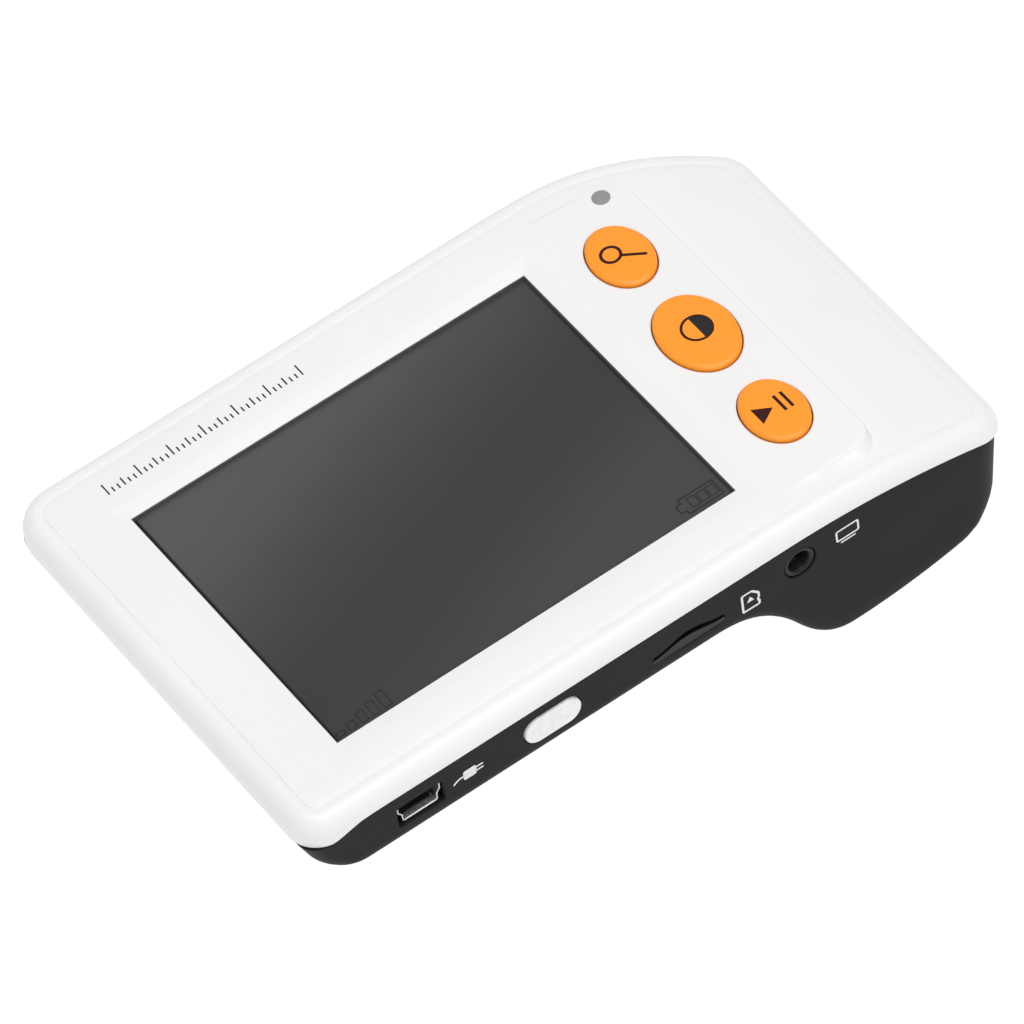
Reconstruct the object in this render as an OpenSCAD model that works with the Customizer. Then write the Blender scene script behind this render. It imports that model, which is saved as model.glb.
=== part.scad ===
// Hand-held electronic low vision magnifier: two moulded half shells around a
// 3.5 inch screen, three top keys, a side power key, side sockets and a
// downward-looking camera with its own lights in the deep end of the body.
// Working frame inside the modules: X along the body, Y towards the far long
// edge, Z up, origin at the centre of the screen on the flat top face.
// The finished part lies as it does on a table, on its swell and on the bottom
// edge of its slim end, with its origin at the centre of its footprint.

/* [Body] */
// Screen centre to the left end of the body
left_run = 49.0; // [48.6:0.1:49.4]
// Screen centre to the right end of the body
right_run = 76.65; // [76.2:0.05:77.2]
// Screen centre to the near long side, where the sockets are
near_run = 38.2; // [37.9:0.1:38.6]
// Screen centre to the far long side
far_run = 40.65; // [40.2:0.05:41.2]
// Thickness of the slim left part
slim_depth = 14.65; // [14.5:0.05:15.4]
// Full depth at the lowest line of the camera swell
full_depth = 31.0; // [30.6:0.1:31.8]
// Wall thickness of both shells
wall = 1.8; // [1.6:0.1:1.9]
// Radius of the rounded top edge
edge_round = 3.2; // [2.8:0.1:3.4]
// Depth of the white skirt below the top face, along the long sides
skirt = 3.55; // [3.4:0.05:3.8]
// Extra skirt depth around the left end
skirt_dip = 1.35; // [1.0:0.05:1.5]
// Gap of the seam between the two shells
seam = 0.12; // [0.08:0.02:0.2]

/* [Curves] */
// Where the top face starts to bend down towards the right end
bend_from = 36; // [35.8:0.1:37]
// Radius of that bend
bend_radius = 138; // [130:1:150]
// Radius of the long sweep of the far edge
sweep_radius = 52; // [51:0.5:54]
// Where that sweep starts
sweep_from = 44; // [43.5:0.1:44.5]
// Radius of the swell's curved underside
belly_radius = 88; // [80:1:96]

/* [Screen] */
// Width of the screen opening
view_w = 71.0; // [70.6:0.1:71.4]
// Height of the screen opening
view_h = 53.4; // [53.0:0.1:53.8]
// Width of the shallow slope around the opening
slope_w = 2.6; // [2:0.1:3]
// Depth of that slope at the opening
slope_d = 0.5; // [0.3:0.05:0.6]

/* [Keys] */
// X of the row of keys
key_x = 48.4; // [48.2:0.1:48.6]
// Half width of the two small keys
key_a = 4.9; // [4.8:0.05:5.1]
// Half length of the two small keys
key_b = 6.4; // [6.3:0.05:6.7]
// Half width of the big middle key
big_a = 5.9; // [5.8:0.05:6.1]
// Half length of the big middle key
big_b = 7.95; // [7.9:0.05:8.2]
// Height of the keys above the face
key_proud = 0.8; // [0.6:0.05:0.9]
// Gap all round each key
key_gap = 0.22; // [0.15:0.01:0.3]
// How far a key can be pressed
travel = 0.5; // [0.3:0.05:0.5]

/* [Sockets] */
// Socket bore for a 3.5 mm plug
jack_bore_d = 3.6; // [3.55:0.01:3.65]
// Depth of that bore
jack_depth = 13; // [12:0.5:14]
// Outside width of the mini connector's metal shell
usb_w = 7.7; // [7.6:0.05:7.8]
// Outside height of the mini connector's metal shell
usb_h = 3.9; // [3.8:0.05:3.95]
// Width of the memory card slot
card_w = 12.6; // [12.2:0.1:12.8]

/* [Hidden] */
$fn = 48;

// corner radii of the two shells in plan
rl = 5.2; rlf = 6.8; rr = 5.4;
brl = 3.4; brlf = 5.5;
// lower shell: inset at the seam, extra inset at the right end, side draft, end draft
inset = 0.25; end_inset = 0.3; draft = 0.03; end_draft = 0.105;
// lower shell: bottom edge round, right end round, left end lean
foot_round = 2.8; end_round = 6.5; lean = 0.38; lean_run = 3.6;
lean0 = atan(lean);
dep_l = slim_depth - skirt - skirt_dip;
lean_round = (dep_l - lean_run) / (1 - sin(lean0));
// swell: where it starts, its inflection, its lowest line, drop to the inflection
sw_a = 21.8; sw_m = 37.0; sw_c = 46.6; sw_drop = 9.3;
power_proud = 0.7;

// resting attitude: the straight line under the round of the slim end and the
// swell. The round's centre and radius, the touching point on the swell, the lean.
foot_c = [-left_run + inset + lean * lean_run + lean_round * cos(lean0), -slim_depth + lean_round];
touch_u = pow(0.192 * (sw_c - sw_m) / (2.27 * (full_depth - slim_depth - sw_drop)), 1 / 1.27);
touch_x = sw_c - touch_u * (sw_c - sw_m);
span = [touch_x, z_bot(touch_x)] - foot_c;
rest_tilt = -atan2(span[1], span[0]) - asin(lean_round / norm(span));

function sq(v) = v * v;
function smooth(u) = let(v = min(max(u, 0), 1)) v * v * (3 - 2 * v);
function z_top(x) = x <= bend_from ? 0 : -sq(x - bend_from) / (2 * bend_radius);
function z_part(x) = z_top(x) - skirt - skirt_dip * smooth((-38.5 - x) / 7);
function z_bot(x) =
  x < sw_a ? -slim_depth
  : x < sw_m ? -slim_depth - sw_drop * pow((x - sw_a) / (sw_m - sw_a), 2.65)
  : x < sw_c ? -full_depth + (full_depth - slim_depth - sw_drop) * pow((sw_c - x) / (sw_c - sw_m), 2.27)
  : -full_depth + sq(x - sw_c) / (2 * belly_radius);
// wall thickness measured vertically, so that steep parts keep their wall
function lift(x) = let(m = (z_bot(x + 0.05) - z_bot(x - 0.05)) / 0.1) sqrt(1 + m * m);
function corner_run(dz, r) = dz < r ? r - sqrt(r * r - sq(r - dz)) : 0;
function lean_in(h) = h < lean_run ? lean * h
  : lean * lean_run + lean_round * (cos(lean0)
    - cos(asin(min((h - lean_run) / lean_round + sin(lean0), 1))));

// X positions of a ring's points, the same number on every ring
function stations(xl, r1, xc, r2) = concat(
  [for (a = [0, 12, 24, 36, 48, 60, 75, 90]) xl + r1 * (1 - cos(a))],
  [for (u = [0.25, 0.5, 0.75]) xl + r1 + u * (-30 - xl - r1)],
  [-30, -10, 10, 19, 22, 24.5, 27, 29, 31, 32.5, 34, 35, 36, 37, 38, 39.2, 40.5, 42, 43.4, touch_x, 46.3, 48],
  [for (u = [0.15, 0.3, 0.45, 0.6, 0.75, 0.88]) 48 + u * (xc - 48)],
  [for (a = [0, 15, 30, 45, 60, 75, 90]) xc + r2 * sin(a)]);
function near_y(x, xl, yn, r1, xc, r2) =
  x < xl + r1 ? yn + r1 - sqrt(max(r1 * r1 - sq(x - xl - r1), 0))
  : x > xc ? yn + r2 - sqrt(max(r2 * r2 - sq(x - xc), 0)) : yn;
function far_y(x, xl, yf, r1, xc, yc, r2, ra, xt) =
  x < xl + r1 ? yf - r1 + sqrt(max(r1 * r1 - sq(x - xl - r1), 0))
  : x < sweep_from ? yf
  : x < xt ? far_run - sweep_radius + sqrt(ra * ra - sq(x - sweep_from))
  : yc + sqrt(max(r2 * r2 - sq(x - xc), 0));
// one closed outline, inset dl at the left, dr at the right and dn along the sides
function ring(dl, dr, dn, r1, r1f, r2, zf) =
  let(xl = -left_run + dl, xr = right_run - dr, yn = -near_run + dn, yf = far_run - dn,
      ra = sweep_radius - dn, xc = xr - r2,
      yc = far_run - sweep_radius + sqrt(sq(ra - r2) - sq(xc - sweep_from)),
      xt = sweep_from + ra * (xc - sweep_from) / (ra - r2),
      xs = stations(xl, r1f, xc, r2), n = len(xs))
  concat([for (i = [0:n - 1]) [xs[i], near_y(xs[i], xl, yn, r1, xc, r2), zf(xs[i])]],
         [for (i = [n - 1:-1:0]) [xs[i], far_y(xs[i], xl, yf, r1f, xc, yc, r2, ra, xt), zf(xs[i])]]);

// solid through a stack of rings, highest ring first
module loft(rings) {
  n = len(rings[0]); m = len(rings); h = n / 2;
  pts = [for (r = rings) each r];
  sides = [for (k = [0:m - 2], i = [0:n - 1])
    let(j = (i + 1) % n, a = k * n + i, b = k * n + j, c = (k + 1) * n + j, d = (k + 1) * n + i)
    each [[a, b, c], [a, c, d]]];
  caps = [for (i = [0:h - 2])
    let(a = i, b = i + 1, c = n - 2 - i, d = n - 1 - i, o = (m - 1) * n)
    each [[a, c, b], [a, d, c], [o + a, o + b, o + c], [o + a, o + c, o + d]]];
  polyhedron(points = pts, faces = concat(sides, caps), convexity = 8);
}

// ring of the upper shell: inset d, height h below the top face
function upper(d, h) = ring(d, d, d, max(rl - d, 0.4), max(rlf - d, 0.6), max(rr - d, 0.5),
  function(x) z_top(x) - h);
function upper_seam(d, dz) = ring(d, d, d, rl - d, rlf - d, rr - d, function(x) z_part(x) + dz);

dep_r = z_part(74) - z_bot(74);
// side ring of the lower shell, k from 0 at the seam to 1 at the bottom round
function lower(k, w, f) =
  let(h = k * (dep_l - w - f), hr = k * (dep_r - w - f))
  ring(inset + lean_in(max(h, 0)) + w * 1.25, inset + end_inset + end_draft * hr + corner_run(dep_r - hr, end_round) + w,
    inset + draft * h + w, max(brl - w, 0.6), max(brlf - w, 0.8), rr - inset - w,
    function(x) z_part(x) - seam + k * (z_bot(x) + w * lift(x) + f - z_part(x) + seam));
// bottom round of the lower shell, a from 0 to 90
function lower_foot(a, w, f) =
  let(run = f * (1 - cos(a)), dz = f * (1 - sin(a)))
  ring(inset + lean_in(dep_l - w - dz) + w * 1.25, inset + end_inset + end_draft * dep_r + corner_run(w + dz, end_round) + w,
    inset + draft * dep_l + w + run, max(brl - w, 0.6), max(brlf - w, 0.8), max(rr - inset - w - run * 0.6, 0.7),
    function(x) z_bot(x) + w * lift(x) + dz);

// footprint of the leaning body, from the outlines of both shells
hull_points = concat([for (a = [0, 22.5, 45]) each upper(edge_round * (1 - cos(a)), edge_round * (1 - sin(a)))],
  upper_seam(0, 0), [for (k = [0, 0.2, 0.4, 0.6, 0.8, 1]) each lower(k, 0, foot_round)],
  [for (a = [30, 50, 70, 90]) each lower_foot(a, 0, foot_round)]);
lean_x = [for (p = hull_points) p[0] * cos(rest_tilt) - p[2] * sin(rest_tilt)];
lean_z = [for (p = hull_points) p[0] * sin(rest_tilt) + p[2] * cos(rest_tilt)];
// shift from the working frame to the part's own frame
cx = (min(lean_x) + max(lean_x)) / 2;
cy = (far_run - near_run + inset + 0.15 - power_proud) / 2;
cz = min(lean_z);
module place() translate([-cx, -cy, -cz]) rotate([0, -rest_tilt, 0]) children();

module oval(a, b, n = 48) polygon([for (i = [0:n - 1]) [a * cos(360 * i / n), b * sin(360 * i / n)]]);
module rounded(w, h, r) {
  for (s = [-1, 1]) {
    translate([0, s * (h / 2 - r)]) for (q = [-1, 1]) translate([q * (w / 2 - r), 0]) circle(r = r, $fn = 32);
  }
  square([w - 2 * r, h], center = true);
  square([w, h - 2 * r], center = true);
}
module slot2d(w, h) { for (s = [-1, 1]) translate([s * (w - h) / 2, 0]) circle(d = h, $fn = 40); square([w - h, h], center = true); }
module box(x0, x1, y0, y1, z0, z1) translate([x0, y0, z0]) cube([x1 - x0, y1 - y0, z1 - z0]);
// cylinder standing along Z between two levels
module rod(x, y, z0, z1, r) translate([x, y, z0]) cylinder(r = r, h = z1 - z0);
// thin strip following points in a plane
module strip(p, t) { for (i = [0:len(p) - 2]) let(d = p[i + 1] - p[i], L = norm(d), n = [-d[1], d[0]] * t / 2 / L, e = d * t / 2.2 / L)
  polygon([p[i] - n - e, p[i + 1] - n + e, p[i + 1] + n + e, p[i] + n - e]); }
// draw a flat shape in the plane across X or across Y
module across_x(x0, x1) translate([x0, 0, 0]) rotate([90, 0, 90]) linear_extrude(height = x1 - x0) children();
module across_y(y0, y1) translate([0, y1, 0]) rotate([90, 0, 0]) linear_extrude(height = y1 - y0) children();

// ---- levels, downwards from the top face
win_top = -1.2; win_bot = -2.4; glue = 0.15;
lcd_top = -2.9; lcd_bot = -6.2;
lcd_x = 38.45; lcd_y0 = -29.9; lcd_y1 = 34.0;
floor_z = -slim_depth + wall;
board_top = -11.0; board_bot = -12.2;
keyb_top = -5.3; keyb_bot = -6.3;
key_y = [19.75, 0.5, -18.8];
lamp = [52.9, 31.15];
near_face = -near_run + inset + 0.15;
usb_x = -29.9; usb_z = -8.95;
pow_x = -6.45; pow_z = -8.55; pow_w = 9.9; pow_h = 4.9;
card_x = 17.85; card_z = -10.2;
jack_x = 38.05; jack_z = -8.8;
bay = [-37.0, 18.6, -1.9, 32.9];
hinge_x = 17.6; hinge_z = -slim_depth + 0.88;
case_pts = [[-40.4, -33], [-40.4, 36.2], [66, -30], [62, 30.5]];
function boss_z(x) = -6 + z_top(x + 3);
board_pts = [[-34.5, -8.8], [23.6, 30.5], [30.5, -31.5]];
keyb_pts = [[44.3, 31.2], [48.4, -28.7]];
// camera: foot of its axis on the underside, and its lean
cam_x = 58; cam_y = 1.2; cam_tilt = -7.4;
module cam() translate([cam_x, cam_y, z_bot(cam_x)]) rotate([0, cam_tilt, 0]) children();

// ================= upper half =================
module top_shell() color("white") place() difference() {
  union() {
    difference() {
      loft([for (a = [90, 67.5, 45, 22.5, 0]) upper(edge_round * (1 - cos(a)), edge_round * (1 - sin(a))), upper_seam(0, 0)]);
      loft([upper(wall + 1.3, wall), upper(wall + 0.4, wall + 0.4), upper(wall, wall + 1.3), upper_seam(wall, -1)]);
    }
    // raised flat panel that carries the keys where the face bends down
    translate([0, 0, -1.9]) linear_extrude(height = 1.9) intersection() {
      translate([57.25 - 30, 0.78]) rounded(60, 65.95, 5);
      translate([37, -40]) square([30, 80]);
    }
    // bosses for the case screws and the key board screws
    for (p = case_pts) rod(p[0], p[1], boss_z(p[0]), z_top(p[0] + 3) - 1.0, 2.0);
    for (p = keyb_pts) rod(p[0], p[1], keyb_top, -1.0, 1.8);
  }
  // screen opening with its shallow slope
  box(-view_w / 2, view_w / 2, -view_h / 2, view_h / 2, -5, 1);
  polyhedron(points = [for (k = [0, 1], s = [[-1, -1], [1, -1], [1, 1], [-1, 1]])
      [s[0] * (view_w / 2 + (k ? slope_w * 1.2 : -slope_w * 0.2)), s[1] * (view_h / 2 + (k ? slope_w * 1.2 : -slope_w * 0.2)),
       k ? slope_d * 0.2 : -slope_d * 1.2]],
    faces = [[0, 1, 2, 3], [7, 6, 5, 4], [0, 4, 5, 1], [1, 5, 6, 2], [2, 6, 7, 3], [3, 7, 4, 0]]);
  // pocket for the window
  box(-37.6, 37.6, -28.8, 28.8, -5, win_top);
  // key holes, and a flat underside for the key flanges
  for (i = [0:2]) translate([key_x, key_y[i], -5]) linear_extrude(height = 7)
    oval((i == 1 ? big_a : key_a) + key_gap, (i == 1 ? big_b : key_b) + key_gap);
  for (i = [0:2]) translate([key_x, key_y[i], -5]) linear_extrude(height = 2.8)
    oval((i == 1 ? big_a : key_a) + 1.2, (i == 1 ? big_b : key_b) + 1.2);
  rod(lamp[0], lamp[1], -5, 1, 1.42);
  rod(lamp[0], lamp[1], -5, -2.2, 2.1);
  for (p = case_pts) rod(p[0], p[1], boss_z(p[0]) - 1, boss_z(p[0]) + 3.2, 0.85);
  for (p = keyb_pts) rod(p[0], p[1], keyb_top - 1, keyb_top + 2.6, 0.7);
}
module display_window() color([0.2, 0.22, 0.25, 0.5]) place() box(-37.4, 37.4, -28.6, 28.6, win_bot, win_top - glue);
module window_adhesive() color("dimgray") place() difference() {
  box(-37.3, 37.3, -28.5, 28.5, win_top - glue, win_top);
  box(-35.9, 35.9, -27.1, 27.1, -3, 0);
}
module lcd_gasket() color("dimgray") place() difference() {
  box(-38, 38, -29.2, 29.2, lcd_top, win_bot);
  box(-36, 36, -27.2, 27.2, -4, 0);
}
module lcd_glass() color("black") place() box(-lcd_x + 0.4, lcd_x - 0.4, lcd_y0 + 0.4, lcd_y1 - 0.4, lcd_top - 1.4, lcd_top);
module lcd_backlight() color("whitesmoke") place() box(-lcd_x + 0.4, lcd_x - 0.4, lcd_y0 + 0.4, lcd_y1 - 0.4, lcd_bot + 0.35, lcd_top - 1.4);
module lcd_frame() color("silver") place() difference() {
  box(-lcd_x, lcd_x, lcd_y0, lcd_y1, lcd_bot, lcd_top - 0.1);
  box(-lcd_x + 0.35, lcd_x - 0.35, lcd_y0 + 0.35, lcd_y1 - 0.35, lcd_bot + 0.3, 0);
  box(26, 36, lcd_y1 - 1, lcd_y1 + 1, lcd_bot + 0.3, 0);
}
module lcd_flex() color("orange") place() across_x(27, 35)
  strip([[33.76, -5.5], [35.6, -5.7], [36.6, -6.7], [36.6, -8.4], [35.4, -9.9], [32.4, -10.25]], 0.18);

// ================= keys =================
module key_cap(a, b) {
  linear_extrude(height = 0.25) translate([0, 0]) oval(a, b);
  translate([0, 0, 0.25]) linear_extrude(height = 0.2) oval(a - 0.12, b - 0.12);
  translate([0, 0, 0.45]) linear_extrude(height = 0.2) oval(a - 0.4, b - 0.4);
  translate([0, 0, 0.65]) linear_extrude(height = key_proud - 0.65) oval(a - 0.95, b - 0.95);
  translate([0, 0, -2.4]) linear_extrude(height = 2.4) oval(a, b);
  translate([0, 0, -3.1]) linear_extrude(height = 0.75) oval(a + 0.9, b + 0.9);
  translate([0, 0, -3.6]) cylinder(r = 1.5, h = 0.6);
}
module zoom_button() color("orange") place() translate([key_x, key_y[0], 0]) key_cap(key_a, key_b);
module contrast_button() color("orange") place() translate([key_x, key_y[1], 0]) key_cap(big_a, big_b);
module freeze_button() color("orange") place() translate([key_x, key_y[2], 0]) key_cap(key_a, key_b);
module keypad_membrane() color("gray") place() difference() {
  union() {
    box(41.3, 55.7, -26.6, 28.6, -4.32, -3.9);
    for (y = key_y) rod(key_x, y, -4.4, -3.72, 3.2);
  }
  for (y = key_y) rod(key_x, y, -5, -3, 1.9);
}
module key_board() color("darkgreen") place() difference() {
  box(41, 56, -31, 35.4, keyb_bot, keyb_top);
  for (p = keyb_pts) rod(p[0], p[1], -8, -4, 0.9);
}
module key_switches() color("silver") place() for (y = key_y) {
  box(key_x - 2.4, key_x + 2.4, y - 2.4, y + 2.4, keyb_top, -4.5);
  rod(key_x, y, -4.6, -4.16, 1.1);
}
module key_flex() color("orange") place() across_y(-7, 1)
  strip([[48, -6.45], [45.6, -6.6], [44.8, -8.2], [44.0, -9.8], [41.6, -10.2]], 0.18);
module screw(head_r, head_h, r, len) {
  // head up, top of the head at the origin
  difference() {
    translate([0, 0, -head_h]) cylinder(r = head_r, h = head_h);
    translate([0, 0, -head_h * 0.6]) { cube([head_r * 1.1, 0.4, head_h * 1.3], center = true); cube([0.4, head_r * 1.1, head_h * 1.3], center = true); }
  }
  translate([0, 0, -head_h - len]) cylinder(r = r, h = len + 0.05);
}
module key_board_screws() color("silver") place() for (p = keyb_pts)
  translate([p[0], p[1], keyb_bot - 0.9]) mirror([0, 0, 1]) screw(1.6, 0.9, 0.68, 3.2);
module status_light_pipe() color("gainsboro") place() union() {
  rod(lamp[0], lamp[1], -2.3, 0.02, 1.38);
  rod(lamp[0], lamp[1], -3.0, -2.25, 2.0);
  rod(lamp[0], lamp[1], -4.5, -2.9, 1.2);
}
module status_led() color("lightyellow") place() box(lamp[0] - 0.8, lamp[0] + 0.8, lamp[1] - 0.4, lamp[1] + 0.4, keyb_top, -4.6);

// ================= boards and sockets =================
module main_board() color("darkgreen") place() difference() {
  translate([0, 0, board_bot]) linear_extrude(height = board_top - board_bot)
    polygon([[-38, -35.6], [-13, -35.6], [-13, -33.9], [-0.5, -33.9], [-0.5, -35.6], [44, -35.6],
             [44, 33.6], [20.6, 33.6], [20.6, -4], [-38, -4]]);
  for (p = board_pts) rod(p[0], p[1], -14, -9, 1.1);
}
module board_chips() color("black") place() {
  box(-2, 10, -26, -14, board_top, -9.8);
  box(-20, -11, -24, -15, board_top, -9.9);
  box(-31, -24, -19, -14, board_top, -9.4);
  box(26, 36, -2, 8, board_top, -9.9);
  box(28, 34, 14, 19, board_top, -9.5);
  // sockets for the three ribbons
  box(26.6, 35.4, 29.4, 33, board_top, -10.35);
  box(39, 42.6, -7.5, 1.5, board_top, -10.3);
  box(38.6, 42.4, 11.5, 20.5, board_top, -10.5);
}
module board_screws() color("silver") place() for (p = board_pts)
  translate([p[0], p[1], board_top + 1]) screw(1.9, 1.0, 0.85, 2.6);
module usb_port_shell() color("silver") place() translate([usb_x, 0, usb_z]) difference() {
  across_y(near_face + 0.95, near_face + 10) polygon([[-usb_w / 2, usb_h / 2], [-usb_w / 2, -0.1], [-usb_w / 2 + 0.9, -usb_h / 2],
    [usb_w / 2 - 0.9, -usb_h / 2], [usb_w / 2, -0.1], [usb_w / 2, usb_h / 2]]);
  across_y(near_face + 0.5, near_face + 9.5) polygon([[-usb_w / 2 + 0.35, usb_h / 2 - 0.35], [-usb_w / 2 + 0.35, 0], [-usb_w / 2 + 1.15, -usb_h / 2 + 0.35],
    [usb_w / 2 - 1.15, -usb_h / 2 + 0.35], [usb_w / 2 - 0.35, 0], [usb_w / 2 - 0.35, usb_h / 2 - 0.35]]);
}
module usb_port_tongue() color("black") place() translate([usb_x, 0, usb_z]) union() {
  box(-1.9, 1.9, near_face + 2.2, near_face + 8.2, -0.55, 0.45);
  across_y(near_face + 8.1, near_face + 9.4) polygon([[-3.3, 1.5], [-3.3, 0.1], [-2.6, -1.5], [2.6, -1.5], [3.3, 0.1], [3.3, 1.5]]);
}
module card_socket() color("silver") place() difference() {
  box(card_x - 7.1, card_x + 7.1, near_face + 2.6, near_face + 17.4, board_top, -9.2);
  box(card_x - card_w / 2 + 0.6, card_x + card_w / 2 - 0.6, near_face + 2, near_face + 16.6, -10.65, -9.65);
}
module tv_out_jack() color("black") place() translate([jack_x, 0, jack_z]) difference() {
  union() {
    box(-3.0, 3.0, near_face + 2.0, near_face + 15.5, -2.2, 2.2);
    translate([0, near_face + 2.3, 0]) rotate([90, 0, 0]) cylinder(r = 2.15, h = 1.75);
  }
  translate([0, near_face + 0.85 + jack_depth, 0]) rotate([90, 0, 0]) cylinder(d = jack_bore_d, h = jack_depth + 1.3);
  // the hollow at the bore's end, where the plug's tip is gripped
  translate([0, near_face + 1.35 + jack_depth, 0]) rotate([90, 0, 0]) cylinder(d = jack_bore_d + 0.3, h = 0.8);
}
module power_button() color("white") place() translate([pow_x, 0, pow_z]) union() {
  across_y(near_face - power_proud, near_face - power_proud + 0.2) slot2d(pow_w - 1.1, pow_h - 1.1);
  across_y(near_face - power_proud + 0.2, near_face - power_proud + 0.45) slot2d(pow_w - 0.4, pow_h - 0.4);
  across_y(near_face - power_proud + 0.45, near_face + 2.05) slot2d(pow_w, pow_h);
  across_y(near_face + 2.05, near_face + 2.75) slot2d(pow_w + 1.4, pow_h + 0.5);
  translate([0, near_face + 3.1, 0]) rotate([90, 0, 0]) cylinder(r = 1.2, h = 0.5);
}
module power_switch() color("dimgray") place() translate([pow_x, 0, 0]) union() {
  box(-3.5, 3.5, near_face + 4.2, near_face + 7.6, board_top, -7.2);
  translate([0, near_face + 4.3, pow_z]) rotate([90, 0, 0]) cylinder(r = 1.0, h = 0.6);
}

// ================= lower half =================
module bottom_shell() color([0.2, 0.2, 0.21]) place() difference() {
  union() {
    difference() {
      loft([for (k = [0, 0.2, 0.4, 0.6, 0.8, 1]) lower(k, 0, foot_round), for (a = [30, 50, 70, 90]) lower_foot(a, 0, foot_round)]);
      loft([for (k = [-0.12, 0.3, 0.6, 0.8, 1]) lower(k, wall, 1.2), for (a = [45, 90]) lower_foot(a, wall, 1.2)]);
    }
    // battery bay walls
    difference() {
      box(bay[0] - 1.2, bay[1] + 1.2, bay[2] - 1.2, bay[3] + 1.2, floor_z - 0.5, -6.9);
      box(bay[0], bay[1], bay[2], bay[3], -20, 0);
      box(bay[1] - 1, bay[1] + 3, 9.3, 20.7, -10.9, 0);
    }
    // case screw posts and board posts
    for (p = case_pts) rod(p[0], p[1], z_bot(p[0]) + 1.6, boss_z(p[0]) - 0.05, 2.1);
    for (p = board_pts) rod(p[0], p[1], z_bot(p[0]) + 1.0, board_bot, 2.2);
    // seat of the camera window and camera posts
    cam() { translate([0, 0, 1.1]) cylinder(r = 12.6, h = 1.9); for (s = [-1, 1]) translate([0, s * 15.5, 0.9]) cylinder(r = 2.1, h = 15.1); }
  }
  // battery opening and the cover's pivot holes
  box(bay[0], bay[1], bay[2], bay[3], -20, floor_z + 0.5);
  translate([hinge_x, bay[2] - 0.85, hinge_z]) rotate([-90, 0, 0]) cylinder(r = 0.5, h = bay[3] - bay[2] + 1.7);
  // screw holes and their wells
  for (p = case_pts) { rod(p[0], p[1], -40, boss_z(p[0]) + 1, 1.15); rod(p[0], p[1], -40, z_bot(p[0]) + 3.2, 2.05 - 0.25); }
  for (p = board_pts) rod(p[0], p[1], board_bot - 2.4, board_bot + 1, 0.85);
  // camera window seat, light hole, camera screw holes
  cam() {
    translate([0, 0, -3]) cylinder(r = 11.0, h = 4.9);
    translate([0, 0, -3]) cylinder(r = 9.8, h = 8);
    for (s = [-1, 1]) translate([0, s * 15.5, 11]) cylinder(r = 0.8, h = 6);
  }
  // sockets in the near side
  translate([usb_x, 0, usb_z]) across_y(near_face - 1, near_face + 3) rounded(usb_w + 0.3, usb_h + 0.4, 0.5);
  translate([pow_x, 0, pow_z]) across_y(near_face - 1, near_face + 3) slot2d(pow_w + 0.3, pow_h + 0.3);
  translate([card_x, 0, card_z]) across_y(near_face - 1, near_face + 3) square([card_w, 1.0], center = true);
  intersection() {
    translate([card_x, near_face - 10.4, -20]) cylinder(r = 11.4, h = 20, $fn = 96);
    translate([card_x, 0, card_z]) across_y(near_face - 1, near_face + 2) oval(4.7, 2.6);
  }
  translate([jack_x, 0, jack_z]) {
    translate([0, near_face + 3, 0]) rotate([90, 0, 0]) cylinder(r = 2.2, h = 4);
    translate([0, near_face + 0.5, 0]) rotate([90, 0, 0]) cylinder(r = 2.85, h = 2);
  }
}
module battery() color("royalblue") place() translate([-8.5, (bay[2] + bay[3]) / 2, -12.6]) linear_extrude(height = 5.6) rounded(53, 34, 2);
module battery_cover() color([0.2, 0.2, 0.21]) place() union() {
  box(bay[0] + 0.2, hinge_x, bay[2] + 0.2, bay[3] - 0.2, -slim_depth, floor_z - 0.05);
  translate([hinge_x, bay[2] + 0.2, hinge_z]) rotate([-90, 0, 0]) cylinder(r = 0.86, h = bay[3] - bay[2] - 0.4);
  for (y = [bay[2] - 0.6, bay[3] - 0.6]) translate([hinge_x, y, hinge_z]) rotate([-90, 0, 0]) cylinder(r = 0.45, h = 1.2);
  // catch tab
  box(bay[0] + 0.5, bay[0] + 1.5, 12, 19, floor_z - 0.1, -9);
}
module battery_contacts() color("gold") place() {
  box(20.8, 23.4, 9.6, 20.4, board_top, -7.8);
  for (y = [11.6, 15, 18.4]) box(18.1, 20.9, y - 0.6, y + 0.6, -9.8, -8.8);
}
module case_screws() color("silver") place() for (p = case_pts) {
  z0 = z_bot(p[0]) + 3.2;
  translate([p[0], p[1], z0 - 1.3]) mirror([0, 0, 1]) screw(1.7, 1.3, 0.82, boss_z(p[0]) + 2.6 - z0);
}

// ================= camera =================
module camera_window() color([0.7, 0.8, 0.85, 0.4]) place() cam() translate([0, 0, 0.9]) cylinder(r = 10.95, h = 1.0);
module led_board() color("white") place() cam() difference() {
  translate([0, 0, 3.05]) cylinder(r = 12.4, h = 1.0);
  translate([0, 0, 2]) cylinder(r = 5.4, h = 4);
}
module white_leds() color("lightyellow") place() cam() for (a = [45:90:315]) rotate([0, 0, a]) box(6.2, 9.2, -1.4, 1.4, 2.15, 3.05);
module light_baffle() color([0.1, 0.1, 0.1]) place() cam() difference() {
  union() { translate([0, 0, 1.95]) cylinder(r = 5.3, h = 4.5); translate([0, 0, 4.1]) cylinder(r = 6.6, h = 0.8); }
  translate([0, 0, 1]) cylinder(r = 4.6, h = 8);
}
module camera_barrel() color([0.12, 0.12, 0.12]) place() cam() difference() {
  translate([0, 0, 3.2]) cylinder(r = 4.4, h = 9.6);
  translate([0, 0, 3]) cylinder(r = 3.2, h = 1.2);
  translate([0, 0, 4]) cylinder(r = 2.9, h = 9);
}
module camera_lens() color([0.5, 0.6, 0.8, 0.6]) place() cam() intersection() {
  translate([0, 0, 3.9]) cylinder(r = 2.85, h = 2.2);
  translate([0, 0, 9.6]) sphere(r = 5.9, $fn = 48);
}
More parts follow.
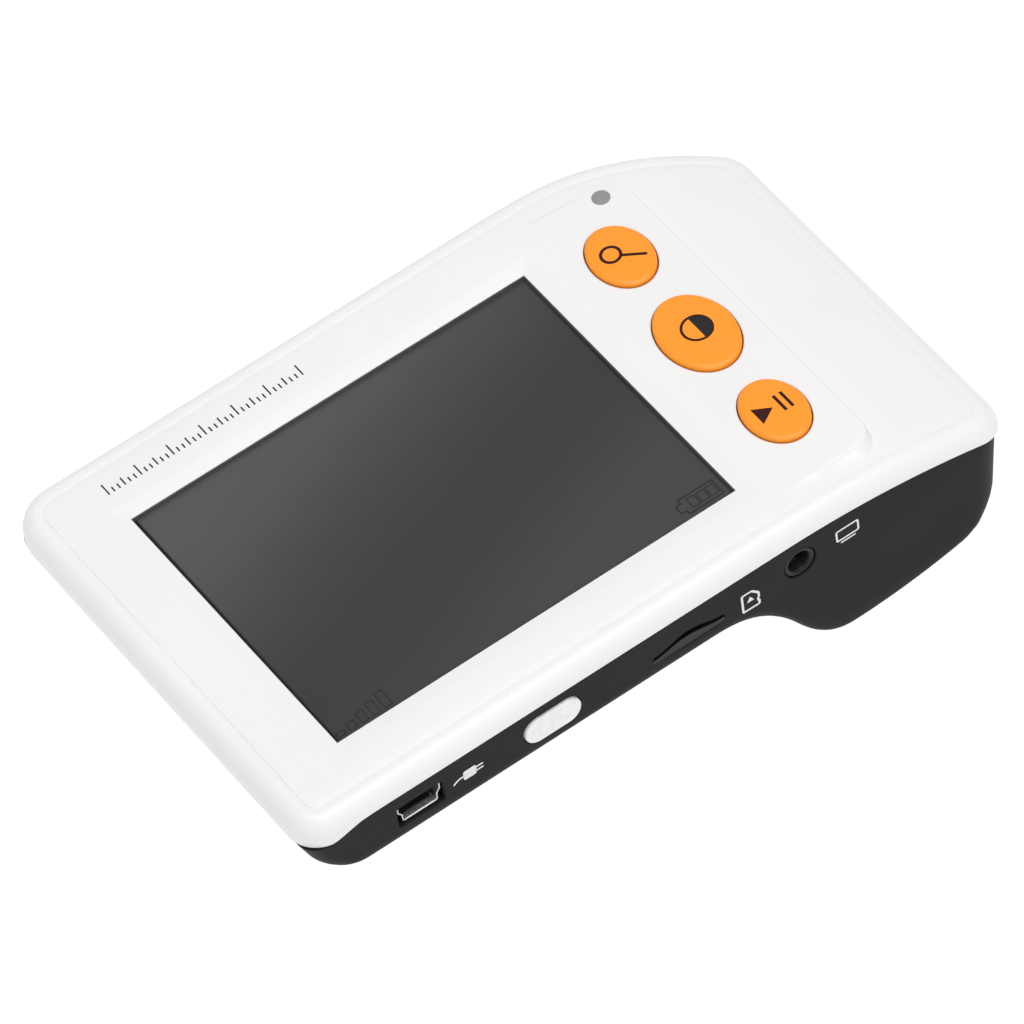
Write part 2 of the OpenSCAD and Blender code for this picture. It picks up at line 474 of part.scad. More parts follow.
module camera_holder() color([0.15, 0.15, 0.15]) place() cam() difference() {
  union() {
    translate([0, 0, 8.2]) cylinder(r = 5.6, h = 4);
    box(-7, 7, -7, 7, 11.6, 16);
  }
  translate([0, 0, 8]) cylinder(r = 4.45, h = 5);
  box(-5, 5, -5, 5, 12.9, 17);
}
module image_sensor() color("gray") place() cam() box(-4, 4, -4, 4, 15, 16);
module camera_board() color("darkgreen") place() cam() difference() {
  box(-9.5, 9.5, -18, 18, 16, 17.2);
  for (s = [-1, 1]) translate([0, s * 15.5, 15]) cylinder(r = 0.95, h = 4);
}
module camera_screws() color("silver") place() cam() for (s = [-1, 1]) translate([0, s * 15.5, 18.1]) screw(1.6, 0.9, 0.78, 3.6);
module camera_flex() color("orange") place() across_y(12, 20)
  strip([[50, -13.7], [47.4, -13.4], [45.6, -12.6], [45.0, -11.4], [44.2, -10.6], [42.6, -10.35]], 0.18);

top_shell();
display_window();
window_adhesive();
lcd_gasket();
lcd_glass();
lcd_backlight();
lcd_frame();
lcd_flex();
zoom_button();
contrast_button();
freeze_button();
keypad_membrane();
key_board();
key_switches();
key_flex();
key_board_screws();
status_light_pipe();
status_led();
main_board();
board_chips();
board_screws();
usb_port_shell();
usb_port_tongue();
card_socket();
tv_out_jack();
power_button();
power_switch();
bottom_shell();
battery();
battery_cover();
battery_contacts();
camera_window();
led_board();
white_leds();
light_baffle();
camera_barrel();
camera_lens();
camera_holder();
camera_board();
image_sensor();
camera_flex();
camera_screws();
case_screws();
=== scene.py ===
import bpy, bmesh, math
import numpy as np
from mathutils import Vector, Matrix
from mathutils.geometry import delaunay_2d_cdt


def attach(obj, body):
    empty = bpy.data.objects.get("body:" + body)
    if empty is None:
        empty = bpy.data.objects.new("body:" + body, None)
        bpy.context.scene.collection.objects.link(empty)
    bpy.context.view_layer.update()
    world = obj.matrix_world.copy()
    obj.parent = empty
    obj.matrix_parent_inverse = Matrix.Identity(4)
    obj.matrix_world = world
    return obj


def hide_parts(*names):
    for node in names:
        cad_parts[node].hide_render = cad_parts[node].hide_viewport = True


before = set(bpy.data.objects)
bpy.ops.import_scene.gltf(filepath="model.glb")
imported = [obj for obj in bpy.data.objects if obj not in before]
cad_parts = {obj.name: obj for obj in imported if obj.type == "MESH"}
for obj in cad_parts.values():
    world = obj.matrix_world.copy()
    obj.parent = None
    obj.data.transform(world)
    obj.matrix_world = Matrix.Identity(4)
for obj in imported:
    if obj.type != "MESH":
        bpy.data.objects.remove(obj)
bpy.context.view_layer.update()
D = math.radians

# ------------------------------------------------------------------ the body's driving sizes, in mm, in the
# working frame: origin at the screen's centre on the flat top face, X along the body, Z up
LEFT, RIGHT, NEAR, FAR = 49.0, 76.65, 38.2, 40.65
SLIM, FULL, WALL, EDGE, SKIRT, DIP, SEAM = 14.65, 31.0, 1.8, 3.2, 3.55, 1.35, 0.12
BEND_X, BEND_R, SWEEP_R, SWEEP_X, BELLY = 36.0, 138.0, 52.0, 44.0, 88.0
RL, RLF, RR, BRL, BRLF = 5.2, 6.8, 5.4, 3.4, 5.5
INSET, END_IN, DRAFT, END_DRAFT = 0.25, 0.3, 0.03, 0.105
FOOT_C, FOOT, END_RD, LEAN, LEAN_RUN = 2.8, 2.2, 6.5, 0.38, 3.6
SW_A, SW_M, SW_C, SW_DROP = 21.8, 37.0, 46.6, 9.3
DEP_L = SLIM - SKIRT - DIP
LEAN0 = math.atan(LEAN)
LEAN_RD = (DEP_L - LEAN_RUN) / (1 - math.sin(LEAN0))
PROUD = 0.7
NF = -NEAR + INSET + 0.15           # plane of the near side at socket height


def sm(u):
    u = min(max(u, 0.0), 1.0)
    return u * u * (3 - 2 * u)


def z_top(x): return 0.0 if x <= BEND_X else -(x - BEND_X) ** 2 / (2 * BEND_R)
def z_part(x): return z_top(x) - SKIRT - DIP * sm((-38.5 - x) / 7)


def z_bot(x):
    if x < SW_A: return -SLIM
    if x < SW_M: return -SLIM - SW_DROP * ((x - SW_A) / (SW_M - SW_A)) ** 2.65
    if x < SW_C: return -FULL + (FULL - SLIM - SW_DROP) * ((SW_C - x) / (SW_C - SW_M)) ** 2.27
    return -FULL + (x - SW_C) ** 2 / (2 * BELLY)


def lift(x):
    m = (z_bot(x + .05) - z_bot(x - .05)) / .1
    return math.sqrt(1 + m * m)


def corner_run(dz, r): return r - math.sqrt(r * r - (r - dz) ** 2) if dz < r else 0.0


def lean_in(h):
    if h < LEAN_RUN: return LEAN * h
    return LEAN * LEAN_RUN + LEAN_RD * (math.cos(LEAN0) - math.cos(math.asin(min((h - LEAN_RUN) / LEAN_RD + math.sin(LEAN0), 1))))


TOUCH_U = (0.192 * (SW_C - SW_M) / (2.27 * (FULL - SLIM - SW_DROP))) ** (1 / 1.27)
TOUCH_X = SW_C - TOUCH_U * (SW_C - SW_M)
_fc = (-LEFT + INSET + LEAN * LEAN_RUN + LEAN_RD * math.cos(LEAN0), -SLIM + LEAN_RD)
_sp = (TOUCH_X - _fc[0], z_bot(TOUCH_X) - _fc[1])
TILT = -math.atan2(_sp[1], _sp[0]) - math.asin(LEAN_RD / math.hypot(*_sp))
CT, ST = math.cos(TILT), math.sin(TILT)

MIDS = [-30, -24, -18, -12, -6, 0, 6, 12, 16, 19, 20.5, 22, 23.2, 24.4, 25.6, 26.8, 28, 29.2, 30.4, 31.4, 32.4, 33.2, 34, 34.8, 35.5, 36.2, 36.8, 37.4,
        38.1, 38.8, 39.6, 40.4, 41.2, 42, 42.8, 43.6, 44.2, TOUCH_X, 45.6, 46.4, 47.2, 48]
CA = [7.5 * i for i in range(13)]


def stations(xl, r1, xc, r2):
    return ([xl + r1 * (1 - math.cos(D(a))) for a in CA] + [xl + r1 + u * (-30 - xl - r1) for u in (.2, .4, .6, .8)] + MIDS
            + [48 + u * (xc - 48) for u in (.08, .16, .24, .32, .4, .48, .56, .64, .72, .8, .88, .95)] + [xc + r2 * math.sin(D(a)) for a in CA])


def near_y(x, xl, yn, r1, xc, r2):
    if x < xl + r1: return yn + r1 - math.sqrt(max(r1 * r1 - (x - xl - r1) ** 2, 0))
    if x > xc: return yn + r2 - math.sqrt(max(r2 * r2 - (x - xc) ** 2, 0))
    return yn


def far_y(x, xl, yf, r1, xc, yc, r2, ra, xt):
    if x < xl + r1: return yf - r1 + math.sqrt(max(r1 * r1 - (x - xl - r1) ** 2, 0))
    if x < SWEEP_X: return yf
    if x < xt: return FAR - SWEEP_R + math.sqrt(ra * ra - (x - SWEEP_X) ** 2)
    return yc + math.sqrt(max(r2 * r2 - (x - xc) ** 2, 0))


def ring(dl, dr, dn, r1, r1f, r2, zf):
    xl, xr, yn, yf, ra = -LEFT + dl, RIGHT - dr, -NEAR + dn, FAR - dn, SWEEP_R - dn
    xc = xr - r2
    yc = FAR - SWEEP_R + math.sqrt((ra - r2) ** 2 - (xc - SWEEP_X) ** 2)
    xt = SWEEP_X + ra * (xc - SWEEP_X) / (ra - r2)
    xs = stations(xl, r1f, xc, r2)
    n = [(x, near_y(x, xl, yn, r1, xc, r2), zf(x)) for x in xs]
    f = [(x, far_y(x, xl, yf, r1f, xc, yc, r2, ra, xt), zf(x)) for x in reversed(xs)]
    return n + between(n[-1], f[0]) + f + between(f[-1], n[0])


ENDS = 14


def between(a, b): return [tuple(a[k] + (b[k] - a[k]) * i / ENDS for k in range(3)) for i in range(1, ENDS)]


def upper(d, h): return ring(d, d, d, max(RL - d, .4), max(RLF - d, .6), max(RR - d, .5), lambda x: z_top(x) - h)
def upper_seam(d, dz): return ring(d, d, d, RL - d, RLF - d, RR - d, lambda x: z_part(x) + dz)


DEP_R = z_part(74) - z_bot(74)


def lower(k, w, f, out=0.0):
    h, hr = k * (DEP_L - w - f), k * (DEP_R - w - f)
    return ring(INSET + lean_in(max(h, 0)) + w * 1.25 + out, INSET + END_IN + END_DRAFT * hr + corner_run(DEP_R - hr, END_RD) + w + out,
                INSET + DRAFT * h + w + out, max(BRL - w, .6), max(BRLF - w, .8), RR - INSET - w,
                lambda x: z_part(x) - SEAM + k * (z_bot(x) + w * lift(x) + f - z_part(x) + SEAM))


def lower_foot(a, w, f):
    run, dz = f * (1 - math.cos(D(a))), f * (1 - math.sin(D(a)))
    return ring(INSET + lean_in(DEP_L - w - dz) + w * 1.25, INSET + END_IN + END_DRAFT * DEP_R + corner_run(w + dz, END_RD) + w,
                INSET + DRAFT * DEP_L + w + run, max(BRL - w, .6), max(BRLF - w, .8), max(RR - INSET - w - run * .6, .7),
                lambda x: z_bot(x) + w * lift(x) + dz)


# the part's own frame: the same shift that the CAD has, found from the body's own rings
_lz = [p[0] * ST + p[2] * CT for a in (0, 70, 90) for p in lower_foot(a, 0, FOOT_C)]
_pts = [p for r in [upper(EDGE * (1 - math.cos(D(a))), EDGE * (1 - math.sin(D(a)))) for a in (0, 22.5, 45)] + [upper_seam(0, 0)]
        + [lower(k, 0, FOOT_C) for k in (0, .2, .4, .6, .8, 1)] + [lower_foot(a, 0, FOOT_C) for a in (30, 50, 70, 90)] for p in r]
_lx = [p[0] * CT - p[2] * ST for p in _pts]
_lz = [p[0] * ST + p[2] * CT for p in _pts]
CX, CY, CZ = (min(_lx) + max(_lx)) / 2, (FAR - NEAR + INSET + .15 - PROUD) / 2, min(_lz)
ROT = Matrix(((CT, 0, -ST), (0, 1, 0), (ST, 0, CT)))


def W(x, y, z):
    """A point of the working frame, in mm, as a point of the part's frame, in metres."""
    return Vector(((x * CT - z * ST - CX) / 1000, (y - CY) / 1000, (x * ST + z * CT - CZ) / 1000))


CAM_X, CAM_Y, CAM_T = 58.0, 1.2, D(7.4)


def C(x, y, z):
    """A point of the camera's frame, whose foot is on the underside, in the working frame."""
    return (CAM_X + x * math.cos(CAM_T) - z * math.sin(CAM_T), CAM_Y + y, z_bot(CAM_X) + x * math.sin(CAM_T) + z * math.cos(CAM_T))


# ------------------------------------------------------------------ mesh helpers
def make(name, verts, faces, mat, body=None, sharp=32, slot=None, merge=True, place=W):
    me = bpy.data.meshes.new(name)
    me.from_pydata([place(*v) if place else Vector(v) for v in verts], [], faces)
    bm = bmesh.new(); bm.from_mesh(me)
    if merge: bmesh.ops.remove_doubles(bm, verts=bm.verts, dist=2e-7)
    bmesh.ops.recalc_face_normals(bm, faces=bm.faces)
    bm.to_mesh(me); bm.free()
    ob = bpy.data.objects.new(name, me)
    bpy.context.scene.collection.objects.link(ob)
    finish_mesh(ob, mat, body, sharp)
    return ob


def finish_mesh(ob, mat, body=None, sharp=32):
    me = ob.data
    me.materials.clear()
    if mat: me.materials.append(mat)
    me.shade_smooth()
    me.set_sharp_from_angle(angle=D(sharp))
    if body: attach(ob, body)
    return ob


def loft(rings, caps=True, flip=False):
    n, m = len(rings[0]), len(rings)
    v = [p for r in rings for p in r]
    f = []
    for k in range(m - 1):
        for i in range(n):
            j = (i + 1) % n
            f.append((k * n + i, k * n + j, (k + 1) * n + j, (k + 1) * n + i))
    if caps:
        f.append(tuple(range(n - 1, -1, -1))); f.append(tuple((m - 1) * n + i for i in range(n)))
    return v, f


def cap_grid(r, zf):
    """Quads across a ring, from its near points to its far ones."""
    n = (len(r) - 2 * (ENDS - 1)) // 2
    v, f = [], []
    for i in range(n):
        a, b = r[i], r[2 * n + ENDS - 2 - i]
        for j in range(ENDS + 1):
            u = j / ENDS
            v.append((a[0], a[1] + u * (b[1] - a[1]), zf(a[0])))
    for i in range(n - 1):
        for j in range(ENDS):
            a = i * (ENDS + 1) + j
            f.append((a, a + 1, a + ENDS + 2, a + ENDS + 1))
    return v, f


def join(*parts):
    v, f = [], []
    for pv, pf in parts:
        o = len(v)
        v += list(pv); f += [tuple(i + o for i in q) for q in pf]
    return v, f


def boolean(ob, cutters, op="DIFFERENCE"):
    """Cuts or adds the cutters, one after another, and removes them."""
    for c in cutters:
        m = ob.modifiers.new("b", "BOOLEAN")
        m.object, m.operation, m.solver = c, op, BOOL
        if BOOL == "EXACT": m.use_hole_tolerant = True
        dg = bpy.context.evaluated_depsgraph_get()
        new = bpy.data.meshes.new_from_object(ob.evaluated_get(dg))
        ob.modifiers.clear()
        old = ob.data; ob.data = new; bpy.data.meshes.remove(old)
        bpy.data.objects.remove(c)
    return ob


BOOL = "MANIFOLD" if "MANIFOLD" in [i.identifier for i in bpy.types.BooleanModifier.bl_rna.properties["solver"].enum_items] else "EXACT"


def tool(verts, faces, place=W):
    return make("cutter", verts, faces, None, None, place=place)


def oval(a, b, n=72, x=0, y=0): return [(x + a * math.cos(2 * math.pi * i / n), y + b * math.sin(2 * math.pi * i / n)) for i in range(n)]


def rrect(w, h, r, n=8, x=0, y=0):
    p = []
    for cx, cy, a0 in ((w / 2 - r, -h / 2 + r, -90), (w / 2 - r, h / 2 - r, 0), (-w / 2 + r, h / 2 - r, 90), (-w / 2 + r, -h / 2 + r, 180)):
        p += [(x + cx + r * math.cos(D(a0 + 90 * i / n)), y + cy + r * math.sin(D(a0 + 90 * i / n))) for i in range(n + 1)]
    return p


def dense(loop, step, closed=True):
    out = []
    n = len(loop)
    for i in range(n if closed else n - 1):
        a, b = loop[i], loop[(i + 1) % n]
        k = max(1, int(math.ceil(math.dist(a, b) / step)))
        out += [(a[0] + (b[0] - a[0]) * j / k, a[1] + (b[1] - a[1]) * j / k) for j in range(k)]
    if not closed: out.append(loop[-1])
    return out


def inside(p, loop):
    """Which of the points are inside the loop."""
    p = np.asarray(p, float); q = np.asarray(loop, float); r = np.roll(q, -1, 0)
    c = np.zeros(len(p), bool)
    for (x1, y1), (x2, y2) in zip(q, r):
        if y1 == y2: continue
        hit = ((y1 > p[:, 1]) != (y2 > p[:, 1])) & (p[:, 0] < (x2 - x1) * (p[:, 1] - y1) / (y2 - y1) + x1)
        c ^= hit
    return c


def far_from(p, loops, d):
    p = np.asarray(p, float); keep = np.ones(len(p), bool)
    for loop, closed in loops:
        q = np.asarray(loop, float)
        a, b = (q, np.roll(q, -1, 0)) if closed else (q[:-1], q[1:])
        for (s, e) in zip(a, b):
            near = keep & (np.abs(p[:, 0] - (s[0] + e[0]) / 2) < abs(e[0] - s[0]) / 2 + d) & (np.abs(p[:, 1] - (s[1] + e[1]) / 2) < abs(e[1] - s[1]) / 2 + d)
            if not near.any(): continue
            v = e - s; L = max(v @ v, 1e-12)
            w = p[near] - s
            t = np.clip(w @ v / L, 0, 1)
            idx = np.where(near)[0]
            keep[idx[np.hypot(*(w - t[:, None] * v).T) < d]] = False
    return keep


def triangulate(outer, holes, lines=(), loops=(), steiner=()):
    """Constrained triangles inside outer and outside the holes. Returns points and triangles."""
    f32 = lambda l: [(float(np.float32(p[0])), float(np.float32(p[1]))) for p in l]
    outer, holes = f32(outer), [f32(h) for h in holes]
    pts, edges = [], []
    for loop, closed in [(outer, True)] + [(h, True) for h in holes] + [(l, True) for l in loops] + [(l, False) for l in lines]:
        o = len(pts); pts += [tuple(p) for p in loop]
        n = len(loop)
        edges += [(o + i, o + (i + 1) % n) for i in range(n if closed else n - 1)]
    pts += [tuple(p) for p in steiner]
    v, e, f, ov, oe, of_ = delaunay_2d_cdt([Vector(p) for p in pts], edges, [], 0, 1e-6)
    v = [(p.x, p.y) for p in v]
    cen = np.array([[sum(v[i][0] for i in t) / len(t), sum(v[i][1] for i in t) / len(t)] for t in f])
    ok = inside(cen, outer)
    for h in holes: ok &= ~inside(cen, h)
    return v, [tuple(t) for t, k in zip(f, ok) if k]


def prism(loop, place3, rows):
    """A closed prism. rows are (offset function or scale, w) pairs: each row is the loop moved by its own function."""
    n = len(loop); v = []; f = []
    for g, w in rows: v += [place3(*(g(p) if g else p), w) for p in loop]
    m = len(rows)
    for k in range(m - 1):
        for i in range(n):
            j = (i + 1) % n
            f.append((k * n + i, k * n + j, (k + 1) * n + j, (k + 1) * n + i))
    f.append(tuple(range(n))); f.append(tuple((m - 1) * n + i for i in reversed(range(n))))
    return v, f


def lathe(profile, place3, n=64):
    """A closed solid of revolution. profile is a closed list of (r, w); r of 0 makes a pole."""
    v, f = [], []
    m = len(profile)
    for i in range(n):
        a = 2 * math.pi * i / n
        v += [place3(r * math.cos(a), r * math.sin(a), w) for r, w in profile]
    for i in range(n):
        j = (i + 1) % n
        for k in range(m):
            l = (k + 1) % m
            q = []
            for t in (i * m + k, j * m + k, j * m + l, i * m + l):
                if t not in q: q.append(t)
            if profile[k][0] == 0 and profile[l][0] == 0: continue
            f.append(tuple(q))
    return v, f


def plate(name, shapes, place3, t, mat, body, slot, sink=.04, step=.5):
    """Thin closed pads, such as printed marks. shapes are (outer, [holes]) in the plane; place3 puts (u, v, w) in the working frame."""
    V, F = [], []
    for outer, holes in shapes:
        f32 = lambda l: [(float(np.float32(p[0])), float(np.float32(p[1]))) for p in l]
        outer = f32(dense(outer, step)); holes = [f32(dense(h, step)) for h in holes]
        v, f = triangulate(outer, holes)
        o, n = len(V), len(v)
        V += [place3(x, y, t) for x, y in v] + [place3(x, y, -sink) for x, y in v]
        F += [tuple(i + o for i in q) for q in f] + [tuple(i + o + n for i in reversed(q)) for q in f]
        for loop in [outer] + holes:
            a = len(V); m = len(loop)
            V += [place3(x, y, t) for x, y in loop] + [place3(x, y, -sink) for x, y in loop]
            F += [(a + i, a + (i + 1) % m, a + m + (i + 1) % m, a + m + i) for i in range(m)]
    return make(name, V, F, mat, body, 40, slot)


def line(p, w):
    """A stroke with round ends along the points, as one outline."""
    p = [Vector(q) for q in p]; L, R = [], []
    for i, q in enumerate(p):
        d = ((p[min(i + 1, len(p) - 1)] - p[max(i - 1, 0)])).normalized()
        n = Vector((-d.y, d.x))
        k = 1.0
        if 0 < i < len(p) - 1:
            d1 = (q - p[i - 1]).normalized(); k = 1 / max(.5, abs(Vector((-d1.y, d1.x)).dot(n)))
        L.append(q + n * w / 2 * k); R.append(q - n * w / 2 * k)
    d0, d1 = (p[1] - p[0]).normalized(), (p[-1] - p[-2]).normalized()
    def cap(c, d): 
        a0 = math.atan2(d.y, d.x)
        return [(c.x + w / 2 * math.cos(a0 + D(t)), c.y + w / 2 * math.sin(a0 + D(t))) for t in (60, 30, 0, -30, -60)]
    return [tuple(q) for q in L] + cap(p[-1], d1) + [tuple(q) for q in reversed(R)] + cap(p[0], -d0)


def annulus(x, y, r0, r1, n=40): return (oval(r1, r1, n, x, y), [oval(r0, r0, n, x, y)])


# ------------------------------------------------------------------ materials
def principled(name, color, rough, **kw):
    m = bpy.data.materials.new(name); m.use_nodes = True
    b = m.node_tree.nodes["Principled BSDF"]
    b.inputs["Base Color"].default_value = (*color[:3], 1)
    b.inputs["Roughness"].default_value = rough
    for k, v in kw.items():
        b.inputs[k.replace("_", " ")].default_value = v
    return m, b


def grain(m, b, scale, bump, rough=None, color=None, detail=3.0, dist=.0001, low=None):
    """Fine moulded texture: noise that drives bump, roughness and a little colour."""
    t = m.node_tree; N, L = t.nodes, t.links
    co = N.new("ShaderNodeTexCoord")
    n1 = N.new("ShaderNodeTexNoise"); n1.inputs["Scale"].default_value = scale; n1.inputs["Detail"].default_value = detail
    L.new(co.outputs["Object"], n1.inputs["Vector"])
    bp = N.new("ShaderNodeBump"); bp.inputs["Strength"].default_value = bump; bp.inputs["Distance"].default_value = dist
    L.new(n1.outputs["Fac"], bp.inputs["Height"]); L.new(bp.outputs["Normal"], b.inputs["Normal"])
    n2 = N.new("ShaderNodeTexNoise"); n2.inputs["Scale"].default_value = low or 60; n2.inputs["Detail"].default_value = 4
    L.new(co.outputs["Object"], n2.inputs["Vector"])
    if rough:
        r = N.new("ShaderNodeMapRange"); r.inputs["To Min"].default_value, r.inputs["To Max"].default_value = rough
        L.new(n2.outputs["Fac"], r.inputs["Value"]); L.new(r.outputs["Result"], b.inputs["Roughness"])
    if color:
        c = N.new("ShaderNodeMix"); c.data_type = "RGBA"
        c.inputs[6].default_value, c.inputs[7].default_value = (*color[0], 1), (*color[1], 1)
        L.new(n2.outputs["Fac"], c.inputs[0]); L.new(c.outputs[2], b.inputs["Base Color"])
    return m


def mat_grain(name, color, rough, scale, bump, rr=None, cc=None, low=None, detail=3.0, dist=.0001, **kw):
    m, b = principled(name, color, rough, **kw)
    return grain(m, b, scale, bump, rr, cc, detail, dist, low)


WHITE = mat_grain("white_moulding", (.86, .86, .86), .34, 2600, .05, (.30, .40), ((.845, .845, .85), (.875, .873, .87)), low=45, dist=.00002, Specular_IOR_Level=.5)
BLACK = mat_grain("black_matte_moulding", (.0108, .0108, .0111), .55, 5200, .28, (.50, .62), ((.0098, .0098, .0101), (.0120, .0120, .0122)), low=70, dist=.00003, detail=2.0, Specular_IOR_Level=.13)
ORANGE = mat_grain("orange_key_plastic", (1.0, .33, .022), .32, 3000, .05, (.27, .37), ((1.0, .315, .018), (1.0, .345, .028)), low=160, dist=.00002, Specular_IOR_Level=.4)
PEARL = mat_grain("pearl_key_plastic", (.84, .84, .83), .28, 900, .10, (.22, .38), ((.76, .76, .76), (.97, .97, .96)), low=900, dist=.00003, Coat_Weight=.3)
INK_D = mat_grain("dark_print_ink", (.045, .009, .008), .5, 4000, .05, (.45, .6), ((.038, .008, .007), (.052, .011, .010)), dist=.00001, Specular_IOR_Level=.12)
INK_W = mat_grain("white_print_ink", (.8, .8, .8), .5, 4000, .05, (.45, .6), ((.76, .76, .76), (.84, .84, .84)), dist=.00001)
INK_K = mat_grain("black_print_ink", (.022, .020, .021), .45, 4000, .05, (.4, .55), ((.019, .017, .018), (.026, .023, .024)), dist=.00001, Specular_IOR_Level=.15)
GREYDOT = mat_grain("grey_light_pipe", (.275, .275, .275), .35, 1500, .05, (.3, .45), ((.26, .26, .26), (.30, .30, .30)), dist=.00001)
STEEL = mat_grain("plated_steel", (.62, .62, .63), .28, 1200, .12, (.2, .38), ((.56, .56, .57), (.68, .68, .69)), low=500, dist=.00002, Metallic=1.0)
DARKSCREW = mat_grain("blackened_screw", (.10, .10, .105), .36, 1500, .12, (.3, .48), low=500, dist=.00002, Metallic=1.0)
GOLD = mat_grain("gold_plate", (.83, .60, .22), .25, 1500, .08, (.18, .34), low=500, dist=.00001, Metallic=1.0)
PCB = mat_grain("green_solder_mask", (.012, .10, .04), .32, 700, .10, (.25, .42), ((.008, .075, .03), (.02, .13, .055)), low=260, dist=.00003)
WPCB = mat_grain("white_solder_mask", (.78, .78, .76), .4, 700, .10, (.35, .5), low=260, dist=.00003)
PARTS = mat_grain("black_moulded_parts", (.013, .013, .013), .42, 2500, .15, (.36, .5), low=300, dist=.00002, Specular_IOR_Level=.25)
FLEX = mat_grain("amber_ribbon", (.50, .23, .04), .3, 900, .08, (.25, .4), ((.42, .18, .03), (.56, .28, .06)), low=200, dist=.00002)
FOAM = mat_grain("black_foam", (.02, .02, .02), .9, 3500, .6, dist=.00006)
# the card slot's ledge: a glossier black whose lighter colour is painted highlight
SATIN_PAINTED_HIGHLIGHT = mat_grain("black_satin_painted_highlight", (.032, .032, .033), .36, 2600, .12, (.30, .42), ((.026, .026, .027), (.038, .038, .039)), low=300, dist=.00002, Specular_IOR_Level=.5)
TRIM = mat_grain("dark_trim", (.10, .10, .102), .6, 2500, .1, (.5, .7), dist=.00002, Specular_IOR_Level=.3)
SILIC = mat_grain("silicone", (.45, .45, .45), .55, 1500, .1, dist=.00002)
BATT = mat_grain("battery_wrap", (.03, .07, .20), .33, 900, .08, (.26, .42), ((.022, .055, .17), (.04, .09, .24)), low=120, dist=.00002)
LABEL = mat_grain("battery_label", (.62, .63, .65), .45, 2500, .05, (.4, .55), dist=.00001)
LEDM = mat_grain("led_phosphor", (.85, .70, .22), .45, 1800, .1, ((.4), (.5)), dist=.00002)
INNERW = mat_grain("diffuser_white", (.8, .8, .78), .5, 900, .05, dist=.00001)
SENSOR, _b = principled("sensor_cover", (.02, .02, .03), .08)
grain(SENSOR, _b, 300, .02, (.05, .12), dist=.00001)


def clear(name, color, alpha, rough=.03, ior=1.5):
    m, b = principled(name, color, rough, IOR=ior)
    t = m.node_tree; co = t.nodes.new("ShaderNodeTexCoord"); n = t.nodes.new("ShaderNodeTexNoise"); r = t.nodes.new("ShaderNodeMapRange")
    n.inputs["Scale"].default_value = 45; n.inputs["Detail"].default_value = 3
    r.inputs["To Min"].default_value, r.inputs["To Max"].default_value = rough * .7, rough * 1.8
    t.links.new(co.outputs["Object"], n.inputs["Vector"]); t.links.new(n.outputs["Fac"], r.inputs["Value"]); t.links.new(r.outputs["Result"], b.inputs["Roughness"])
    b.inputs["Alpha"].default_value = alpha
    return m


LENS = clear("coated_lens", (.10, .12, .22), .55, .02)
PANE = clear("camera_pane", (.35, .4, .42), .22, .03)

# the unlit screen: a dark grey film with painted reflection, cloudy and paler towards its far left corner and its near
# edge
def screen_film_painted_reflection(name, rough, alpha=1.0):
    m, b = principled(name, (.05, .052, .054), rough)
    N, L = m.node_tree.nodes, m.node_tree.links
    co = N.new("ShaderNodeTexCoord")
    sep = N.new("ShaderNodeSeparateXYZ"); L.new(co.outputs["Object"], sep.inputs[0])
    nz = N.new("ShaderNodeTexNoise"); nz.inputs["Scale"].default_value = 30; nz.inputs["Detail"].default_value = 2
    L.new(co.outputs["Object"], nz.inputs["Vector"])
    mx = N.new("ShaderNodeMath"); mx.operation = "MULTIPLY_ADD"; mx.inputs[1].default_value = 15.0; mx.inputs[2].default_value = .34
    L.new(sep.outputs[1], mx.inputs[0])
    my = N.new("ShaderNodeMath"); my.operation = "MULTIPLY_ADD"; my.inputs[1].default_value = -5.8; L.new(sep.outputs[0], my.inputs[0]); L.new(mx.outputs[0], my.inputs[2])
    ad = N.new("ShaderNodeMath"); ad.operation = "MULTIPLY_ADD"; ad.inputs[1].default_value = .12; L.new(nz.outputs["Fac"], ad.inputs[0]); L.new(my.outputs[0], ad.inputs[2])
    # the ramp's greys are the painted reflection, set by position on the screen and by cloudy noise
    cr = N.new("ShaderNodeValToRGB"); L.new(ad.outputs[0], cr.inputs[0])
    cr.color_ramp.interpolation = "B_SPLINE"
    cr.color_ramp.elements[0].position, cr.color_ramp.elements[0].color = 0.0, (.058, .0585, .060, 1)
    cr.color_ramp.elements[1].position, cr.color_ramp.elements[1].color = 1.0, (.094, .094, .095, 1)
    for q, c in ((.10, .060), (.24, .044), (.40, .038), (.56, .050), (.72, .070), (.86, .092)):
        e = cr.color_ramp.elements.new(q); e.color = (c, c * 1.005, c * 1.02, 1)
    L.new(cr.outputs[0], b.inputs["Base Color"])
    r = N.new("ShaderNodeMapRange"); r.inputs["To Min"].default_value, r.inputs["To Max"].default_value = rough * .8, rough * 1.3
    L.new(nz.outputs["Fac"], r.inputs["Value"]); L.new(r.outputs["Result"], b.inputs["Roughness"])
    b.inputs["Alpha"].default_value = alpha
    return m


# the screen and its cover carry the same painted reflection
SCREEN = screen_film_painted_reflection("unlit_screen_painted_reflection", .25)
GLASS = screen_film_painted_reflection("screen_cover", .10, .92)

# ------------------------------------------------------------------ upper shell
VW, VH, SLW, SLD = 71.0, 53.4, 2.6, .5
KEY_X, KEY_Y = 48.4, (19.75, .5, -18.8)
KEY_AB = ((4.9, 6.4), (5.9, 7.95), (4.9, 6.4))
GAP = .22
LAMP = (52.9, 31.15)


def panel_edge(o, on):
    """The raised panel's edge, from the far side round to the near side, moved out by o, and by on along the near side."""
    x1, y1, y0, rf, rn = 57.25 + o, 33.75 + o, -32.2 - on, 5.7 + o, 4.2 + (o + on) / 2
    p = [(37.5, y1), (44, y1), (48, y1)]
    p += [(x1 - rf + rf * math.sin(D(a)), y1 - rf + rf * math.cos(D(a))) for a in range(0, 91, 6)]
    p += [(x1 - rn + rn * math.cos(D(a)), y0 + rn - rn * math.sin(D(a))) for a in range(0, 91, 6)]
    p += [(48, y0), (44, y0), (37.5, y0)]
    return p


